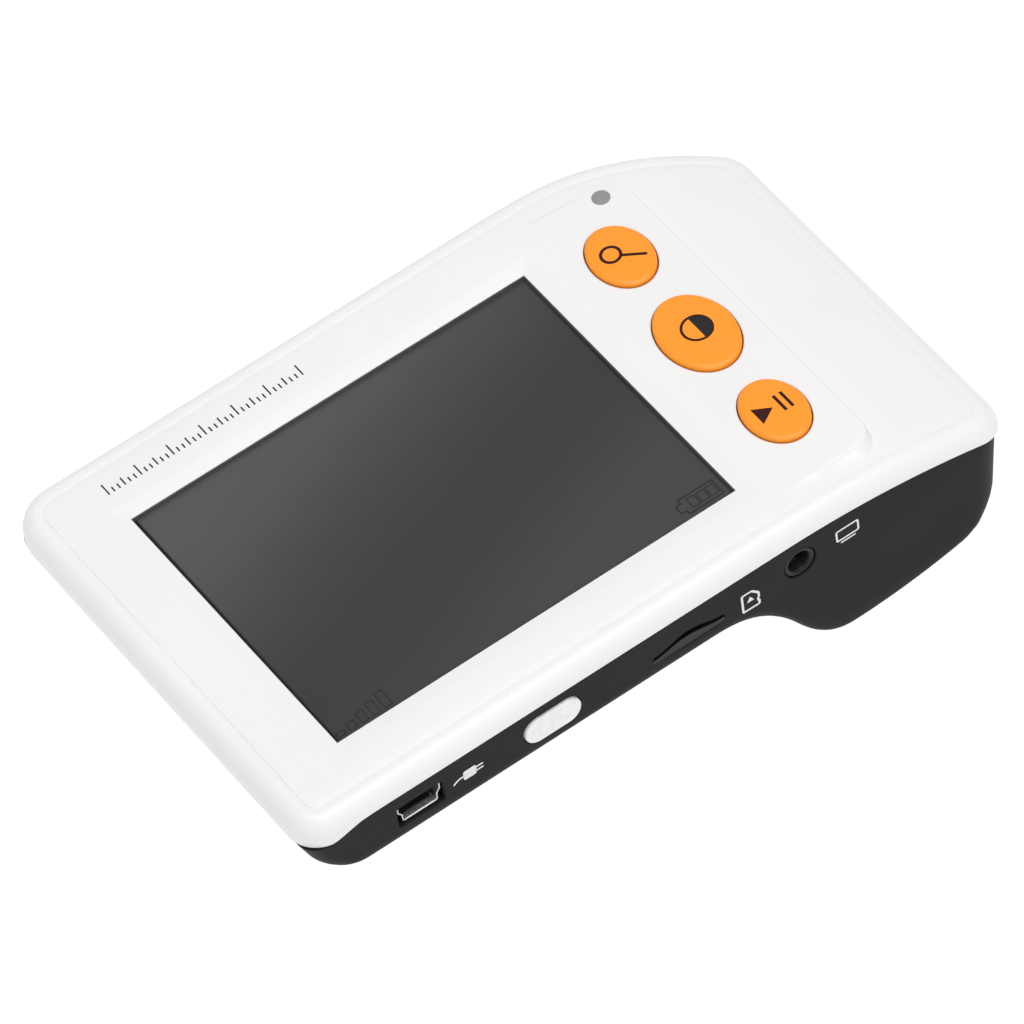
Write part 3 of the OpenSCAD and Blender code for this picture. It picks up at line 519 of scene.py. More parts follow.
def top_shell():
    L0 = [(p[0], p[1]) for p in upper(3.62, 0)]
    view = dense([(-VW / 2, -VH / 2), (VW / 2, -VH / 2), (VW / 2, VH / 2), (-VW / 2, VH / 2)], 2.0)
    pocket = dense(rrect(75.24, 57.64, .5, 3), 2.0)
    slope = dense(rrect(VW + 2 * SLW, VH + 2 * SLW, 1.0, 4), 2.0)
    holes, rims = [], []
    for (a, b), y in zip(KEY_AB, KEY_Y):
        holes.append(oval(a + GAP, b + GAP, 96, KEY_X, y)); rims.append(oval(a + GAP + .22, b + GAP + .22, 96, KEY_X, y))
    holes.append(oval(1.42, 1.42, 48, *LAMP)); rims.append(oval(1.56, 1.56, 48, *LAMP))
    pt, pb = dense(panel_edge(0, 0), 1.2, False), dense(panel_edge(.2, 1.9), 1.2, False)
    p1, p2 = dense(panel_edge(-.42, -.42), 1.2, False), dense(panel_edge(-.2, -.2), 1.2, False)
    ptc = pt + [(30, -20), (30, 20)]          # closed versions, to tell what is on the panel
    pbc = pb + [(30, -20), (30, 20)]
    gx, gy = np.meshgrid(np.arange(-47, 76, 1.5), np.arange(-37, 40, 1.5))
    gx = gx + .75 * (np.arange(gx.shape[0])[:, None] % 2)
    st = np.stack([gx.ravel(), gy.ravel()], 1)
    st = st[inside(st, L0)]
    for h in holes + [slope]: st = st[~inside(st, h)]
    st = st[far_from(st, [(L0, True), (slope, True), (pt, False), (pb, False), (p1, False), (p2, False)] + [(r, True) for r in rims], .6)]
    st = st[~(inside(st, pbc) & ~inside(st, ptc) & (st[:, 0] > 37.5))]
    v, f = triangulate(L0, [view] + holes, lines=[pt, pb, p1, p2], loops=[pocket, slope] + rims, steiner=[tuple(p) for p in st])
    P = np.array(v)
    on = inside(P, [((x - 47) * 1.00001 + 47, y * 1.00002) for x, y in ptc]) | ~far_from(P, [(pt, False)], .01)
    n = len(v)
    edge1, edge2 = ~far_from(P, [(pt, False)], .01), ~far_from(P, [(p2, False)], .01)
    zo, zi = [], []
    at = lambda loop: [int(np.argmin(np.hypot(P[:, 0] - x, P[:, 1] - y))) for x, y in loop]
    drop = np.zeros(n, bool)
    for h in holes: drop[at(h)] = True
    for i, (x, y) in enumerate(v):
        b = z_top(x)
        z = 0.0 if on[i] and x > 36 else b
        w = (2.2 if on[i] and x > 36 else WALL) - z
        if x > 37.4 and edge1[i]: z -= min(.30, .5 * -b)
        elif x > 37.4 and edge2[i]: z -= min(.07, .12 * -b)
        if drop[i]: z -= .1
        e = max(abs(x) - VW / 2, abs(y) - VH / 2)
        if e < SLW and x < 40: z = -SLD * (1 - max(e, 0) / SLW)
        if abs(x) < 37.7 and abs(y) < 28.9: w = 1.2
        elif e < SLW + .01 and x < 40: w = WALL
        zo.append(z); zi.append(-w)
    V = [(x, y, z) for (x, y), z in zip(v, zo)] + [(x, y, z) for (x, y), z in zip(v, zi)]
    F = list(f) + [tuple(i + n for i in reversed(q)) for q in f]
    parts = [(V, F)]
    for loop in [view] + holes:
        idx = at(loop)
        m = len(idx)
        parts.append(([V[i] for i in idx] + [V[i + n] for i in idx], [(i, (i + 1) % m, m + (i + 1) % m, m + i) for i in range(m)]))
    rings = [upper(3.62, 0), upper(3.57, .02), upper(3.51, .11), upper(3.44, .15), upper(3.36, .13), upper(3.29, .03), upper(3.22, .0), upper(2.8, .002), upper(2.45, .02)]
    rings += [upper(2.45 * (1 - math.cos(D(a))), .03 + 3.17 * (1 - math.sin(D(a)))) for a in range(84, -1, -6)]
    rings += [upper_seam(0, .26), upper_seam(0, .08), upper_seam(.02, .02), upper_seam(.08, 0), upper_seam(1.0, 0), upper_seam(WALL, 0)]
    rings += [upper(WALL, WALL + 1.3), upper(WALL + .4, WALL + .4), upper(3.1, WALL), upper(3.62, WALL)]
    parts.append(loft(rings, caps=False))
    V, F = join(*parts)
    ob = make("white_upper_shell", V, F, WHITE, "housing", 24, "white_shell")
    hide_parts("top_shell")
    return ob


top = top_shell()

# ------------------------------------------------------------------ lower shell
BAY = (-37.0, 18.6, -1.9, 32.9)
USB_X, USB_Z, POW_X, POW_Z, CARD_X, CARD_Z, JACK_X, JACK_Z = -29.9, -8.95, -6.45, -8.55, 17.85, -10.2, 38.05, -8.8
FLOOR = -SLIM + WALL
HINGE = (17.6, -SLIM + .88)
CASE = ((-40.4, -33), (-40.4, 36.2), (66, -30), (62, 30.5))


def near_side(cx, cz):
    """(u, v, w) on the near side: u along X, v up, w outwards."""
    return lambda u, v, w: (cx + u, NF - w, cz + v)


def scaled(s, t=None):
    t = s if t is None else t
    return lambda p: (p[0] * s, p[1] * t)


def grown(loop, d):
    """The loop pushed outwards by d along its own normals."""
    q = [Vector(p) for p in loop]; n = len(q); out = {}
    c = sum(q, Vector((0, 0))) / n
    for i in range(n):
        t = (q[(i + 1) % n] - q[i - 1]).normalized(); nn = Vector((t.y, -t.x))
        if nn.dot(q[i] - c) < 0: nn = -nn
        out[tuple(loop[i])] = tuple(q[i] + nn * d)
    return lambda p: out[tuple(p)]


def stadium(w, h, n=14):
    r = h / 2
    return ([(w / 2 - r + r * math.cos(D(-90 + 180 * i / n)), r * math.sin(D(-90 + 180 * i / n))) for i in range(n + 1)]
            + [(-w / 2 + r + r * math.cos(D(90 + 180 * i / n)), r * math.sin(D(90 + 180 * i / n))) for i in range(n + 1)])


def bottom_shell():
    f1 = [lower(k / 12, 0, FOOT) for k in range(13)] + [lower_foot(a, 0, FOOT) for a in (8, 16, 24, 32, 40, 50, 60, 70, 80, 90)]
    rim = [ring(INSET + .12, INSET + END_IN + .12, INSET + .12, BRL - .1, BRLF - .1, RR - INSET - .1, lambda x: z_part(x) - SEAM + .05)]
    f1 = [lower(0, WALL, 1.2)] + [f1[0]] + f1[1:]
    f2 = [lower(k / 5, WALL, 1.2) for k in range(6)] + [lower_foot(a, WALL, 1.2) for a in (30, 60, 90)]
    c1 = cap_grid(f1[-1], z_bot)
    c2 = cap_grid(f2[-1], lambda x: z_bot(x) + WALL * lift(x))
    V, F = join(loft(f1, caps=False), c1, loft(f2, caps=False), c2)
    ob = make("black_lower_shell", V, F, BLACK, None)
    box = lambda x0, x1, y0, y1, z0, z1: tool([(x, y, z) for x in (x0, x1) for y in (y0, y1) for z in (z0, z1)],
                                              [(0, 1, 3, 2), (4, 6, 7, 5), (0, 4, 5, 1), (2, 3, 7, 6), (0, 2, 6, 4), (1, 5, 7, 3)])
    col = lambda x, y, z0, z1, r, n=40: tool(*prism(oval(r, r, n, x, y), lambda u, v, w: (u, v, w), [(None, z0), (None, z1)]))
    camc = lambda x, y, r, z0, z1, n=72: tool(*prism(oval(r, r, n, x, y), lambda u, v, w: C(u, v, w), [(None, z0), (None, z1)]))
    # bay walls, posts and the camera window's seat
    walls = box(BAY[0] - 1.2, BAY[1] + 1.2, BAY[2] - 1.2, BAY[3] + 1.2, FLOOR - .5, -6.9)
    boolean(walls, [box(BAY[0], BAY[1], BAY[2], BAY[3], -20, 0), box(BAY[1] - 1, BAY[1] + 3, 9.3, 20.7, -10.9, 0)])
    boolean(ob, [walls] + [col(x, y, z_bot(x) + 1.6, -6.05 + z_top(x + 3), 2.1) for x, y in CASE] + [camc(0, 0, 12.6, 1.1, 3.0)], "UNION")
    cuts = [tool(*prism([(x + (BAY[0] + BAY[1]) / 2, y + (BAY[2] + BAY[3]) / 2) for x, y in rrect(BAY[1] - BAY[0], BAY[3] - BAY[2], .35, 6)],
                        lambda u, v, w: (u, v, w), [(None, -20), (None, FLOOR + .5)]))]
    cuts += [col(x, y, -40, -5 + z_top(x + 3), 1.15, 32) for x, y in CASE]
    for x, y in CASE:
        cuts.append(tool(*prism(oval(1.8, 1.8, 48, x, y), lambda u, v, w: (u, v, w), [(None, -40), (None, z_bot(x) + 3.2)])))
    # the door's two pins turn in these holes
    cuts.append(tool(*prism(oval(.53, .53, 24), lambda u, v, w: (HINGE[0] + u, w, HINGE[1] + v), [(None, BAY[2] - .85), (None, BAY[3] + .85)])))
    cuts += [camc(0, 0, 11.0, -3, 1.9), camc(0, 0, 9.8, -3, 5)]
    # slight chamfer round the camera window's recess
    cuts.append(tool(*prism(oval(1, 1, 96), lambda u, v, w: C(u, v, w), [(scaled(12.2), -1.0), (scaled(11.35), -.1), (scaled(10.9), .45)])))
    # sockets
    us = rrect(8.0, 4.2, .5, 5)
    cuts.append(tool(*prism(us, near_side(USB_X + .2, USB_Z), [(grown(us, .6), .33), (grown(us, .32), .05), (grown(us, .1), -.14), (None, -.24), (None, -3)])))
    ps = stadium(10.2, 5.2)
    cuts.append(tool(*prism(ps, near_side(POW_X, POW_Z), [(grown(ps, .6), .6), (grown(ps, .14), .05), (None, -.14), (None, -3)])))
    # card slot with a thumb scoop: below the slot the wall falls back in a convex curve, above it a short slope comes forward
    def scoop(u):
        c = math.cos(math.pi * u / 12.4) ** 2 if abs(u) < 6.2 else 0.0
        e = math.sqrt(max(1 - (max(abs(u) - 6.0, 0) / .62) ** 2, 0))
        return -.32 + .27 * c, .32 + .48 * c, (.84 + 1.42 * c) * e, (-1.0 - .5 * c) * e
    us_ = [-6.6 + .12 * i for i in range(111)]
    rowsv = []
    for u in us_:
        vl, dp, vt, vb = scoop(u)
        vl = min(max(vl, vb + .02), vt - .02)
        vs = min(vl + .92, vl + .8 * (vt - vl))
        col_ = [(vb, -.6)] + [(vb + (vl - vb) * t, dp * t ** 2.0) for t in (0, .15, .3, .45, .6, .7, .8, .88, .95, 1.0)]
        col_ += [(vl + .01, dp + 2.4), (vs - .01, dp + 2.4)] + [(vs + (vt - vs) * t, (dp + .1) * (1 - t)) for t in (0, .5, 1.0)] + [(vt, -.6)]
        rowsv.append([(CARD_X + u, NF + d, CARD_Z + v) for v, d in col_])
    m = len(rowsv[0])
    V = [q for r in rowsv for q in r]
    F = [(i * m + j, i * m + (j + 1) % m, (i + 1) * m + (j + 1) % m, (i + 1) * m + j) for i in range(len(rowsv) - 1) for j in range(m)]
    F += [tuple(range(m)), tuple((len(rowsv) - 1) * m + j for j in reversed(range(m)))]
    cuts.append(tool(V, F))
    js = oval(1, 1, 64)
    cuts.append(tool(*prism(js, near_side(JACK_X, JACK_Z), [(scaled(3.3), .6), (scaled(2.92), .03), (scaled(2.82), -.06), (scaled(2.82), -.5), (scaled(2.2), -.5), (scaled(2.2), -3)])))
    boolean(ob, cuts)
    finish_mesh(ob, BLACK, "housing", 28)
    ob.data.materials.append(SATIN_PAINTED_HIGHLIGHT)           # the slot's lower ledge faces: a glossier black, painted lighter as highlight
    # faces under the slot's arch get the painted highlight
    for q in ob.data.polygons:
        c = q.center * 1000
        x, z = (c.x + CX) * CT + (c.z + CZ) * ST, -(c.x + CX) * ST + (c.z + CZ) * CT
        d = c.y + CY - NF
        if abs(x - CARD_X) < 6.7 and -1.7 < z - CARD_Z < 1.0 and .2 * (.32 + .48 * math.cos(math.pi * (x - CARD_X) / 12.4) ** 2) < d < .95 and q.normal.y < .3:
            q.material_index = 1
    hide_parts("bottom_shell")
    return ob


bottom = bottom_shell()

# ------------------------------------------------------------------ keys
CROWN = .14


def key_height(x, y, a, b):
    q = min(1.0, (x / (a - .95)) ** 2 + (y / (b - .95)) ** 2)
    return .8 - CROWN * q


def key_cap(name, cad, i, body):
    (a, b), y0 = KEY_AB[i], KEY_Y[i]
    n = 96
    rows = [(-.9, -3.1), (-.9, -2.35), (0, -2.35), (0, -1.0), (0, .0), (0, .12)]
    top_z = .8 - CROWN
    rows += [(.95 * (1 - math.cos(D(t))) * 1.0, .12 + (top_z - .12) * math.sin(D(t))) for t in range(10, 91, 8)] + [(.95, top_z)]
    V, F = [], []
    for o, z in rows: V += [(KEY_X + p[0], y0 + p[1], z) for p in oval(a - o, b - o, n)]
    m = len(rows)
    for s in (.94, .86, .75, .62, .48, .34, .2, .08):
        V += [(KEY_X + (a - .95) * s * math.cos(2 * math.pi * k / n), y0 + (b - .95) * s * math.sin(2 * math.pi * k / n), .8 - CROWN * s * s) for k in range(n)]
        m += 1
    for k in range(m - 1):
        for j in range(n): F.append((k * n + j, k * n + (j + 1) % n, (k + 1) * n + (j + 1) % n, (k + 1) * n + j))
    F.append(tuple(range(n))); F.append(tuple((m - 1) * n + j for j in reversed(range(n))))
    # the stem that meets the switch
    v2, f2 = prism(oval(1.5, 1.5, 24, KEY_X, y0), lambda u, v, w: (u, v, w), [(None, -3.6), (None, -2.9)])
    V, F = join((V, F), (v2, f2))
    ob = make(name, V, F, ORANGE, body, 40, "orange_key")
    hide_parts(cad)
    return ob


for i, (nm, cad, body) in enumerate((("zoom_key", "zoom_button", "zoom_key"), ("contrast_key", "contrast_button", "contrast_key"), ("freeze_key", "freeze_button", "freeze_key"))):
    key_cap(nm + "_cap", cad, i, body)


def on_key(i):
    a, b = KEY_AB[i]
    return lambda u, v, w: (u, v, w + key_height(u - KEY_X, v - KEY_Y[i], a, b))


# marks on the keys: a lens with a handle, a half-filled disc, and play with pause
plate("zoom_mark", [annulus(47.15, 20.5, 1.27, 1.76, 48)], on_key(0), .018, INK_D, "zoom_key", "black_parts")
plate("zoom_mark_handle", [(line([(48.42, 19.32), (49.85, 18.35), (51.35, 17.35)], .5), [])], on_key(0), .018, INK_D, "zoom_key", "black_parts")
plate("contrast_mark", [annulus(48.67, .79, 2.14, 2.56, 56)], on_key(1), .018, INK_D, "contrast_key", "black_parts")
half = [(48.67 + 2.3 * math.sin(D(a)), .79 + 2.3 * math.cos(D(a))) for a in range(0, 181, 6)]
plate("contrast_mark_half", [(half, [])], on_key(1), .019, INK_K, "contrast_key", "black_parts")
plate("freeze_mark", [([(45.47, -16.85), (45.47, -20.25), (48.27, -18.65)], []),
                      ([(49.32, -16.9), (49.82, -16.9), (49.82, -20.3), (49.32, -20.3)], []),
                      ([(50.55, -16.9), (51.05, -16.9), (51.05, -20.3), (50.55, -20.3)], [])], on_key(2), .018, INK_D, "freeze_key", "black_parts")

# status light: a slightly domed grey disc on its pipe
dome = [(0, -4.5), (1.2, -4.5), (1.2, -2.95), (2.0, -2.95), (2.0, -2.3), (1.38, -2.3), (1.38, -.06), (1.33, -.01), (1.2, .015), (.8, .03), (.4, .038), (0, .04)]
o = make("status_light", *lathe(dome, lambda x, y, z: (LAMP[0] + x, LAMP[1] + y, z), 48), GREYDOT, "housing", 40, "light_pipe")
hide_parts("status_light_pipe")

# power key: a crowned lozenge
ps = stadium(9.9, 4.9, 20)
rows = [(grown(ps, .7), -2.75), (grown(ps, .7), -2.05), (None, -2.05), (None, .2)]
rows += [(grown(ps, -.75 * (1 - math.cos(D(t)))), .2 + .34 * math.sin(D(t))) for t in (15, 30, 45, 60, 75, 90)]
rows += [(grown(ps, -1.15), .60), (grown(ps, -1.6), .645), (grown(ps, -2.0), .672), (grown(ps, -2.35), .688)]
V, F = prism(ps, near_side(POW_X, POW_Z), rows)
V, F = join((V, F), prism(oval(1.2, 1.2, 24), near_side(POW_X, POW_Z), [(None, -3.1), (None, -2.6)]))
o = make("power_key_cap", V, F, PEARL, "power_key", 40, "pearl_key")
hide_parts("power_button")

# ------------------------------------------------------------------ sockets
# mini USB socket: folded sheet shell with the stepped sides of its type, and its tongue
def usb_loop(d):
    """Outline of the socket, d inside its outer face: wide above, drawn in below, with rounded turns."""
    w, h = 7.7 / 2 - d, 3.9 / 2 - d
    r = [(w - .2, h), (w - .06, h - .06), (w, h - .2), (w, .62), (w - .04, .42), (w - .16, .22), (w - .36, .0), (w - .52, -.22), (w - .62, -.48), (w - .64, -.75),
         (w - .64, -h + .42), (w - .70, -h + .14), (w - .84, -h + .03), (w - 1.0, -h)]
    return r + [(-x, y) for x, y in reversed(r)]


uo, ui = usb_loop(0), usb_loop(.34)
nf = near_side(USB_X + .2, USB_Z)
V, F = [], []
n = len(uo)
lip = [(usb_loop(.17 - .17 * math.cos(D(a))), -.68 + .17 * math.sin(D(a))) for a in (0, 30, 60, 90, 120, 150, 180)]
rows = [(uo, -10)] + lip + [(ui, -10)]
m = len(rows)
for loop, w in rows: V += [nf(u, v, w) for u, v in loop]
for k in range(m):
    for i in range(n):
        j = (i + 1) % n; l = (k + 1) % m
        F.append((k * n + i, k * n + j, l * n + j, l * n + i))
o = make("usb_socket_shell", V, F, STEEL, "housing", 35, "steel")
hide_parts("usb_port_shell")
back = prism(ui, nf, [(None, -9.9), (None, -8.2)])
tong = prism(rrect(3.9, 1.0, .18, 4, 0, -.05), nf, [(grown(rrect(3.9, 1.0, .18, 4, 0, -.05), -.15), -2.2), (None, -2.4), (None, -8.6)])
liner = [prism([(x - .03, y) for x, y in rrect(4.9, .3, .08, 3, 0, -1.42)], nf, [(None, -1.5), (None, -8.4)])]
o = make("usb_socket_tongue", *join(back, tong, *liner), PARTS, "housing", 35, "black_parts")
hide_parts("usb_port_tongue")
plate("usb_socket_contacts", [([(x - .16, 0), (x + .16, 0), (x + .16, 4.6), (x - .16, 4.6)], []) for x in (-1.4, -.7, 0, .7, 1.4)],
      lambda u, v, w: (USB_X + .2 + u, NF + 2.6 + v, USB_Z - .55 - w), .03, GOLD, "housing", "gold", sink=.03)

# round socket: stepped collar, bore, and a spring contact inside
jp = [(1.8, -.62), (1.88, -.42), (2.0, -.26), (2.14, -.16), (2.3, -.12), (2.46, -.12), (2.58, -.16), (2.66, -.25), (2.68, -.38), (2.68, -.48), (2.16, -.48), (2.16, -2.1),
      (3.0, -2.1), (3.0, -14.9), (1.0, -14.9), (1.0, -14.3), (1.93, -14.2), (1.93, -13.6), (1.8, -13.5)]
o = make("tv_socket_body", *lathe(jp, near_side(JACK_X, JACK_Z), 96), PARTS, "housing", 35, "black_parts")
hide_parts("tv_out_jack")
# the sprung contact shows as a small plate low in the bore
cp = [(-.42, 0), (.42, 0), (.42, 1.6), (-.42, 1.6)]
make("tv_socket_contact", *prism(cp, lambda u, v, w: (JACK_X + .2 + u, NF + 2.2 + v, JACK_Z - 1.62 + w), [(None, -.14), (None, .1)]), STEEL, "housing", 30, "steel")

# ------------------------------------------------------------------ printed marks
face = lambda u, v, w: (u, v, w + z_top(u))
ticks = []
for k in range(37):
    x = -35.6 + k * .965
    h = 2.3 if k % 6 == 0 else (1.6 if k % 3 == 0 else 1.0)
    ticks.append(([(x, 32.2), (x + .25, 32.2), (x + .25, 32.2 + h), (x, 32.2 + h)], []))
plate("scale_marks", ticks, face, .012, INK_K, "housing", "black_parts", step=2)
def near_surf(x, z):
    """Where the near side's surface is, at x and height z."""
    zt, zb = z_part(x) - SEAM, z_bot(x) + FOOT
    return -NEAR + INSET + DRAFT * (zt - z) / (zt - zb) * (DEP_L - FOOT)


ns = lambda u, v, w: (u, near_surf(u, v) - w, v)
# a plug and lead, a card with an arrow, and a screen on a foot
PX, PZ, PK = -21.1, -8.6, 1.35
pq = lambda l: [(PX + PK * (x + 22.6), PZ + PK * (z + 8.45)) for x, z in l]
plug = [(pq(rrect(1.7, 1.5, .3, 4, -22.6, -8.45)), []), (pq(line([(-21.8, -8.15), (-20.95, -8.15)], .24)), []), (pq(line([(-21.8, -8.75), (-20.95, -8.75)], .24)), []),
        (pq(line([(-23.4, -8.45), (-23.9, -8.45), (-24.35, -8.62), (-24.7, -8.9)], .26)), [])]
plate("socket_mark", plug, ns, .012, INK_W, "housing", "white_shell")
co_ = [(27.55, -11.8), (30.35, -11.8), (30.6, -11.55), (30.6, -10.75), (30.42, -10.6), (30.42, -10.2), (30.6, -10.05), (30.6, -9.1), (30.45, -8.75), (29.5, -7.75), (29.2, -7.6), (27.55, -7.6), (27.3, -7.85), (27.3, -11.55)]
ci_ = [(27.8, -11.42), (30.2, -11.42), (30.22, -10.9), (30.04, -10.7), (30.04, -10.1), (30.22, -9.9), (30.22, -9.15), (29.15, -7.98), (27.8, -7.98), (27.68, -8.1), (27.68, -11.3)]
card = [(co_, [ci_]), ([(28.25, -9.95), (29.55, -9.95), (28.9, -8.85)], [])]
card = [([(x, z - .4) for x, z in lo], [[(x, z - .4) for x, z in h] for h in hs]) for lo, hs in card]
plate("card_mark", card, ns, .012, INK_W, "housing", "white_shell")
tv = [(rrect(4.2, 2.5, .4, 4, 46.6, -8.3), [rrect(3.55, 1.85, .2, 4, 46.6, -8.3)]), (line([(45.4, -10.05), (47.8, -10.05)], .3), [])]
plate("screen_mark", tv, ns, .012, INK_W, "housing", "white_shell")

# ------------------------------------------------------------------ screen
lcd = plate("screen_panel", [([(-37.9, -29.4), (37.9, -29.4), (37.9, 33.5), (-37.9, 33.5)], [])], lambda u, v, w: (u, v, -2.9 + w), .0, SCREEN, "housing", "lcd_glass", sink=1.39, step=6)
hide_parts("lcd_glass")
gv = rrect(74.8, 57.2, .6, 6)
V, F = prism(gv, lambda u, v, w: (u, v, w), [(None, -2.4), (None, -1.43), (grown(gv, -.08), -1.35)])
o_ = make("screen_cover_pane", V, F, GLASS, "housing", 30, "window_glass")
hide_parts("display_window")
# a thin dark trim lines the opening's wall, between the bevel's foot and the pane
to, ti = rrect(VW - .02, VH - .02, .05, 2), rrect(VW - .3, VH - .3, .05, 2)
V, F = [], []
for loop, z in ((to, -.56), (to, -1.33), (ti, -1.33), (ti, -.60)): V += [(x, y, z) for x, y in loop]
n = len(to)
for k in range(4):
    F += [(k * n + j, k * n + (j + 1) % n, ((k + 1) % 4) * n + (j + 1) % n, ((k + 1) % 4) * n + j) for j in range(n)]
make("window_trim", V, F, TRIM, "housing", 30, "black_foam")
ghost, gb = principled("screen_ghost_marks", (.024, .024, .026), .3, Specular_IOR_Level=.3)
grain(ghost, gb, 800, .02, (.25, .35), dist=.00001)
S = lambda u, v, w: (u, v, -1.35 + w)
gm = []
for k in range(5):
    h = 1.1 + .6 * k
    gm.append((rrect(1.5, h, .1, 2, -33.8 + k * 2.05, -25.6 + h / 2), [rrect(1.0, h - .5, .05, 2, -33.8 + k * 2.05, -25.6 + h / 2)]))
BX, BY = 31.1, -23.7
bo = [(BX - 2.9, BY - 1.7), (BX + 3.1, BY - 1.7), (BX + 3.3, BY - 1.5), (BX + 3.3, BY + 1.5), (BX + 3.1, BY + 1.7), (BX - 2.9, BY + 1.7), (BX - 3.1, BY + 1.5), (BX - 3.1, BY + .9),
      (BX - 3.8, BY + .9), (BX - 4.0, BY + .7), (BX - 4.0, BY - .7), (BX - 3.8, BY - .9), (BX - 3.1, BY - .9), (BX - 3.1, BY - 1.5)]
bi = [(BX - 2.8, BY - 1.42), (BX + 3.02, BY - 1.42), (BX + 3.02, BY + 1.42), (BX - 2.8, BY + 1.42), (BX - 2.8, BY + .62), (BX - 3.72, BY + .62), (BX - 3.72, BY - .62), (BX - 2.8, BY - .62)]
bat = [(bo, [bi])]
for k in range(3): bat.append((rrect(1.5, 2.1, .1, 2, BX - 1.15 + 1.65 * k, BY), [rrect(1.08, 1.68, .05, 2, BX - 1.15 + 1.65 * k, BY)]))
plate("screen_level_marks", gm, S, .006, ghost, "housing", "black_parts")
plate("screen_battery_mark", bat, S, .006, ghost, "housing", "black_parts")
# a thin dark line and a softer dark band beside it: painted shade along the opening's left edge
for nm_, c_, x0, x1 in (("window_edge_shade_line", .004, -35.3, -34.87), ("window_edge_shade", .034, -34.87, -34.62)):
    em_, eb_ = principled(nm_ + "_ink", (c_, c_, c_ * 1.03), .5, Specular_IOR_Level=.1)
    grain(em_, eb_, 800, .02, (.45, .55), dist=.00001)
    plate(nm_, [([(x0, -26.6), (x1, -26.6), (x1, 26.6), (x0, 26.6)], [])], S, .006, em_, "housing", "black_parts")

# ------------------------------------------------------------------ battery door with a grip, battery label
x0, x1, y0, y1 = BAY[0] + .2, HINGE[0], BAY[2] + .2, BAY[3] - .2
mx, my = (x0 + x1) / 2, (y0 + y1) / 2
dl = rrect(x1 - x0, y1 - y0, .7, 6)
V, F = prism(dl, lambda u, v, w: (mx + u, my + v, w), [(grown(dl, -.15), -SLIM), (None, -SLIM + .15), (None, FLOOR - .05)])
door = make("battery_door_plate", V, F, BLACK, None)
cuts = []
for k in range(5):   # grip grooves near the catch, each a shallow round-ended slot
    g = stadium(11.5, .8, 8)
    cuts.append(tool(*prism(g, lambda u, v, w, k=k: (-33.6 + k * 1.5 + v, my + u, w), [(grown(g, .3), -SLIM - .3), (None, -SLIM + .1), (grown(g, -.18), -SLIM + .42)])))
boolean(door, cuts)
adds = [tool(*lathe([(0, y0), (.86, y0), (.86, y1), (0, y1)], lambda a, b, w: (HINGE[0] + a, w, HINGE[1] + b), 40))]
for y in (BAY[2] - .6, BAY[3] - .6):
    adds.append(tool(*lathe([(0, y), (.45, y), (.45, y + 1.2), (0, y + 1.2)], lambda a, b, w: (HINGE[0] + a, w, HINGE[1] + b), 24)))
adds.append(tool([(x, y, z) for x in (BAY[0] + .5, BAY[0] + 1.5) for y in (12, 19) for z in (FLOOR - .1, -9)],
                 [(0, 1, 3, 2), (4, 6, 7, 5), (0, 4, 5, 1), (2, 3, 7, 6), (0, 2, 6, 4), (1, 5, 7, 3)]))
boolean(door, adds, "UNION")
finish_mesh(door, BLACK, "battery_door", 28)
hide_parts("battery_cover")

# ------------------------------------------------------------------ camera end: pane
o_ = make("camera_pane", *prism(oval(1, 1, 96), lambda u, v, w: C(u, v, w), [(scaled(10.85), .9), (scaled(10.95), 1.0), (scaled(10.95), 1.9)]), PANE, "housing", 30, "clear_window")
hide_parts("camera_window")

# ------------------------------------------------------------------ materials of the CAD nodes that show as they are
use = {"window_adhesive": FOAM, "lcd_gasket": FOAM, "lcd_backlight": INNERW, "lcd_frame": STEEL, "lcd_flex": FLEX, "keypad_membrane": SILIC, "key_board": PCB,
       "key_switches": STEEL, "key_flex": FLEX, "key_board_screws": STEEL, "status_led": LEDM, "main_board": PCB, "board_chips": PARTS, "board_screws": STEEL,
       "card_socket": STEEL, "power_switch": PARTS, "battery": BATT, "battery_contacts": GOLD, "led_board": WPCB, "white_leds": LEDM, "light_baffle": PARTS,
       "camera_barrel": PARTS, "camera_lens": LENS, "camera_holder": PARTS, "camera_board": PCB, "image_sensor": SENSOR, "camera_flex": FLEX,
       "camera_screws": STEEL, "case_screws": DARKSCREW}
for nm, m in use.items():
    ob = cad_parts[nm]
    ob.data.materials.clear(); ob.data.materials.append(m)
plate("battery_label", [(rrect(40, 24, 1.0, 5, -8.5, 15.5), [])], lambda u, v, w: (u, v, -12.6 - w), .03, LABEL, "housing", "white_inner", step=5)

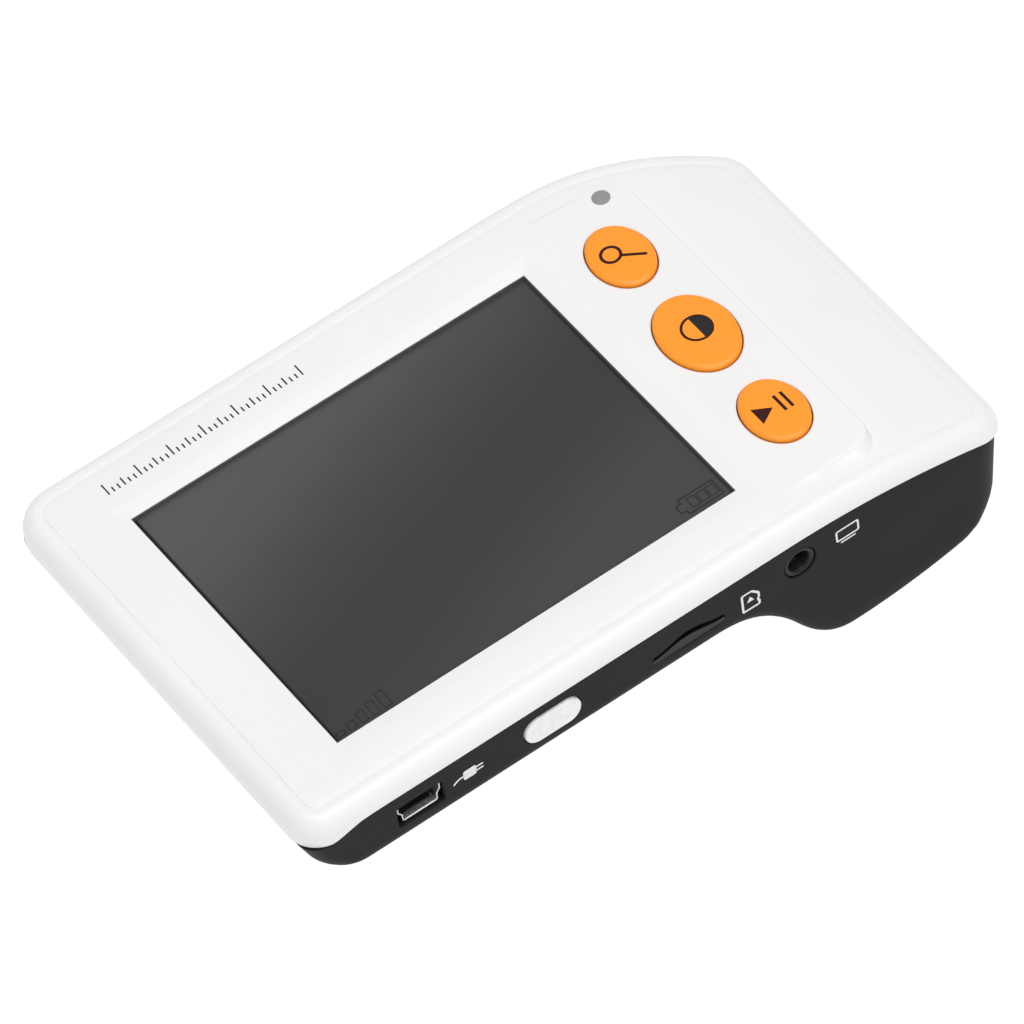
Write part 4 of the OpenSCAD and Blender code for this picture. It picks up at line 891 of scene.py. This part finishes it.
# ------------------------------------------------------------------ stage, light, camera
fl = bpy.data.meshes.new("floor")
fl.from_pydata([(-4, -4, 0), (4, -4, 0), (4, 4, 0), (-4, 4, 0)], [], [(0, 1, 2, 3)])
floor = bpy.data.objects.new("floor", fl); bpy.context.scene.collection.objects.link(floor)
fm, fb = principled("pale_floor", (.06, .06, .06), .9, Specular_IOR_Level=.0)
fb.inputs["Emission Color"].default_value = (1, 1, 1, 1); fb.inputs["Emission Strength"].default_value = 1.02
_n, _l = fm.node_tree.nodes, fm.node_tree.links       # from below the floor is clear, so the underside can be seen
_mix, _tr, _ge = _n.new("ShaderNodeMixShader"), _n.new("ShaderNodeBsdfTransparent"), _n.new("ShaderNodeNewGeometry")
_l.new(_ge.outputs["Backfacing"], _mix.inputs[0]); _l.new(fb.outputs[0], _mix.inputs[1]); _l.new(_tr.outputs[0], _mix.inputs[2])
_l.new(_mix.outputs[0], _n["Material Output"].inputs["Surface"])
fl.materials.append(fm)

world = bpy.data.worlds.new("studio"); bpy.context.scene.world = world; world.use_nodes = True
world.node_tree.nodes["Background"].inputs[0].default_value = (1, 1, 1, 1)
world.node_tree.nodes["Background"].inputs[1].default_value = .45


def light(name, loc, size, power, target=(0, 0, .01), color=(1, 1, 1)):
    l = bpy.data.lights.new(name, "AREA"); l.shape = "RECTANGLE"; l.size, l.size_y = size; l.energy = power; l.color = color
    ob = bpy.data.objects.new(name, l); bpy.context.scene.collection.objects.link(ob)
    ob.location = loc
    ob.rotation_euler = (Vector(target) - Vector(loc)).to_track_quat("-Z", "Y").to_euler()
    return ob


light("key_softbox", (-.15, -.28, 1.6), (1.5, 1.3), 17.4)
light("near_fill", (-.1, -1.35, .95), (1.2, .9), 3.1)
light("far_strip", (.2, 1.3, 1.0), (1.2, .6), 1.0)

R = Matrix(((.81007303, -.57593552, -.1099089), (-.50991477, -.59947907, -.61693741), (.28942808, .55580852, -.77929986)))
t = Vector((-11.67011, -1.34781, 1353.32801))
eye = -(R.transposed() @ t)
cam = bpy.data.cameras.new("camera"); cam.lens = 9287.27 / 1024 * 36; cam.sensor_width = 36; cam.clip_start = .05
co = bpy.data.objects.new("camera", cam); bpy.context.scene.collection.objects.link(co)
rot = ROT @ R.transposed() @ Matrix(((1, 0, 0), (0, -1, 0), (0, 0, -1)))
co.matrix_world = Matrix.Translation(W(*eye)) @ rot.to_4x4()
bpy.context.scene.camera = co
bpy.context.scene.view_settings.view_transform = "Standard"

bpy.context.view_layer.update()
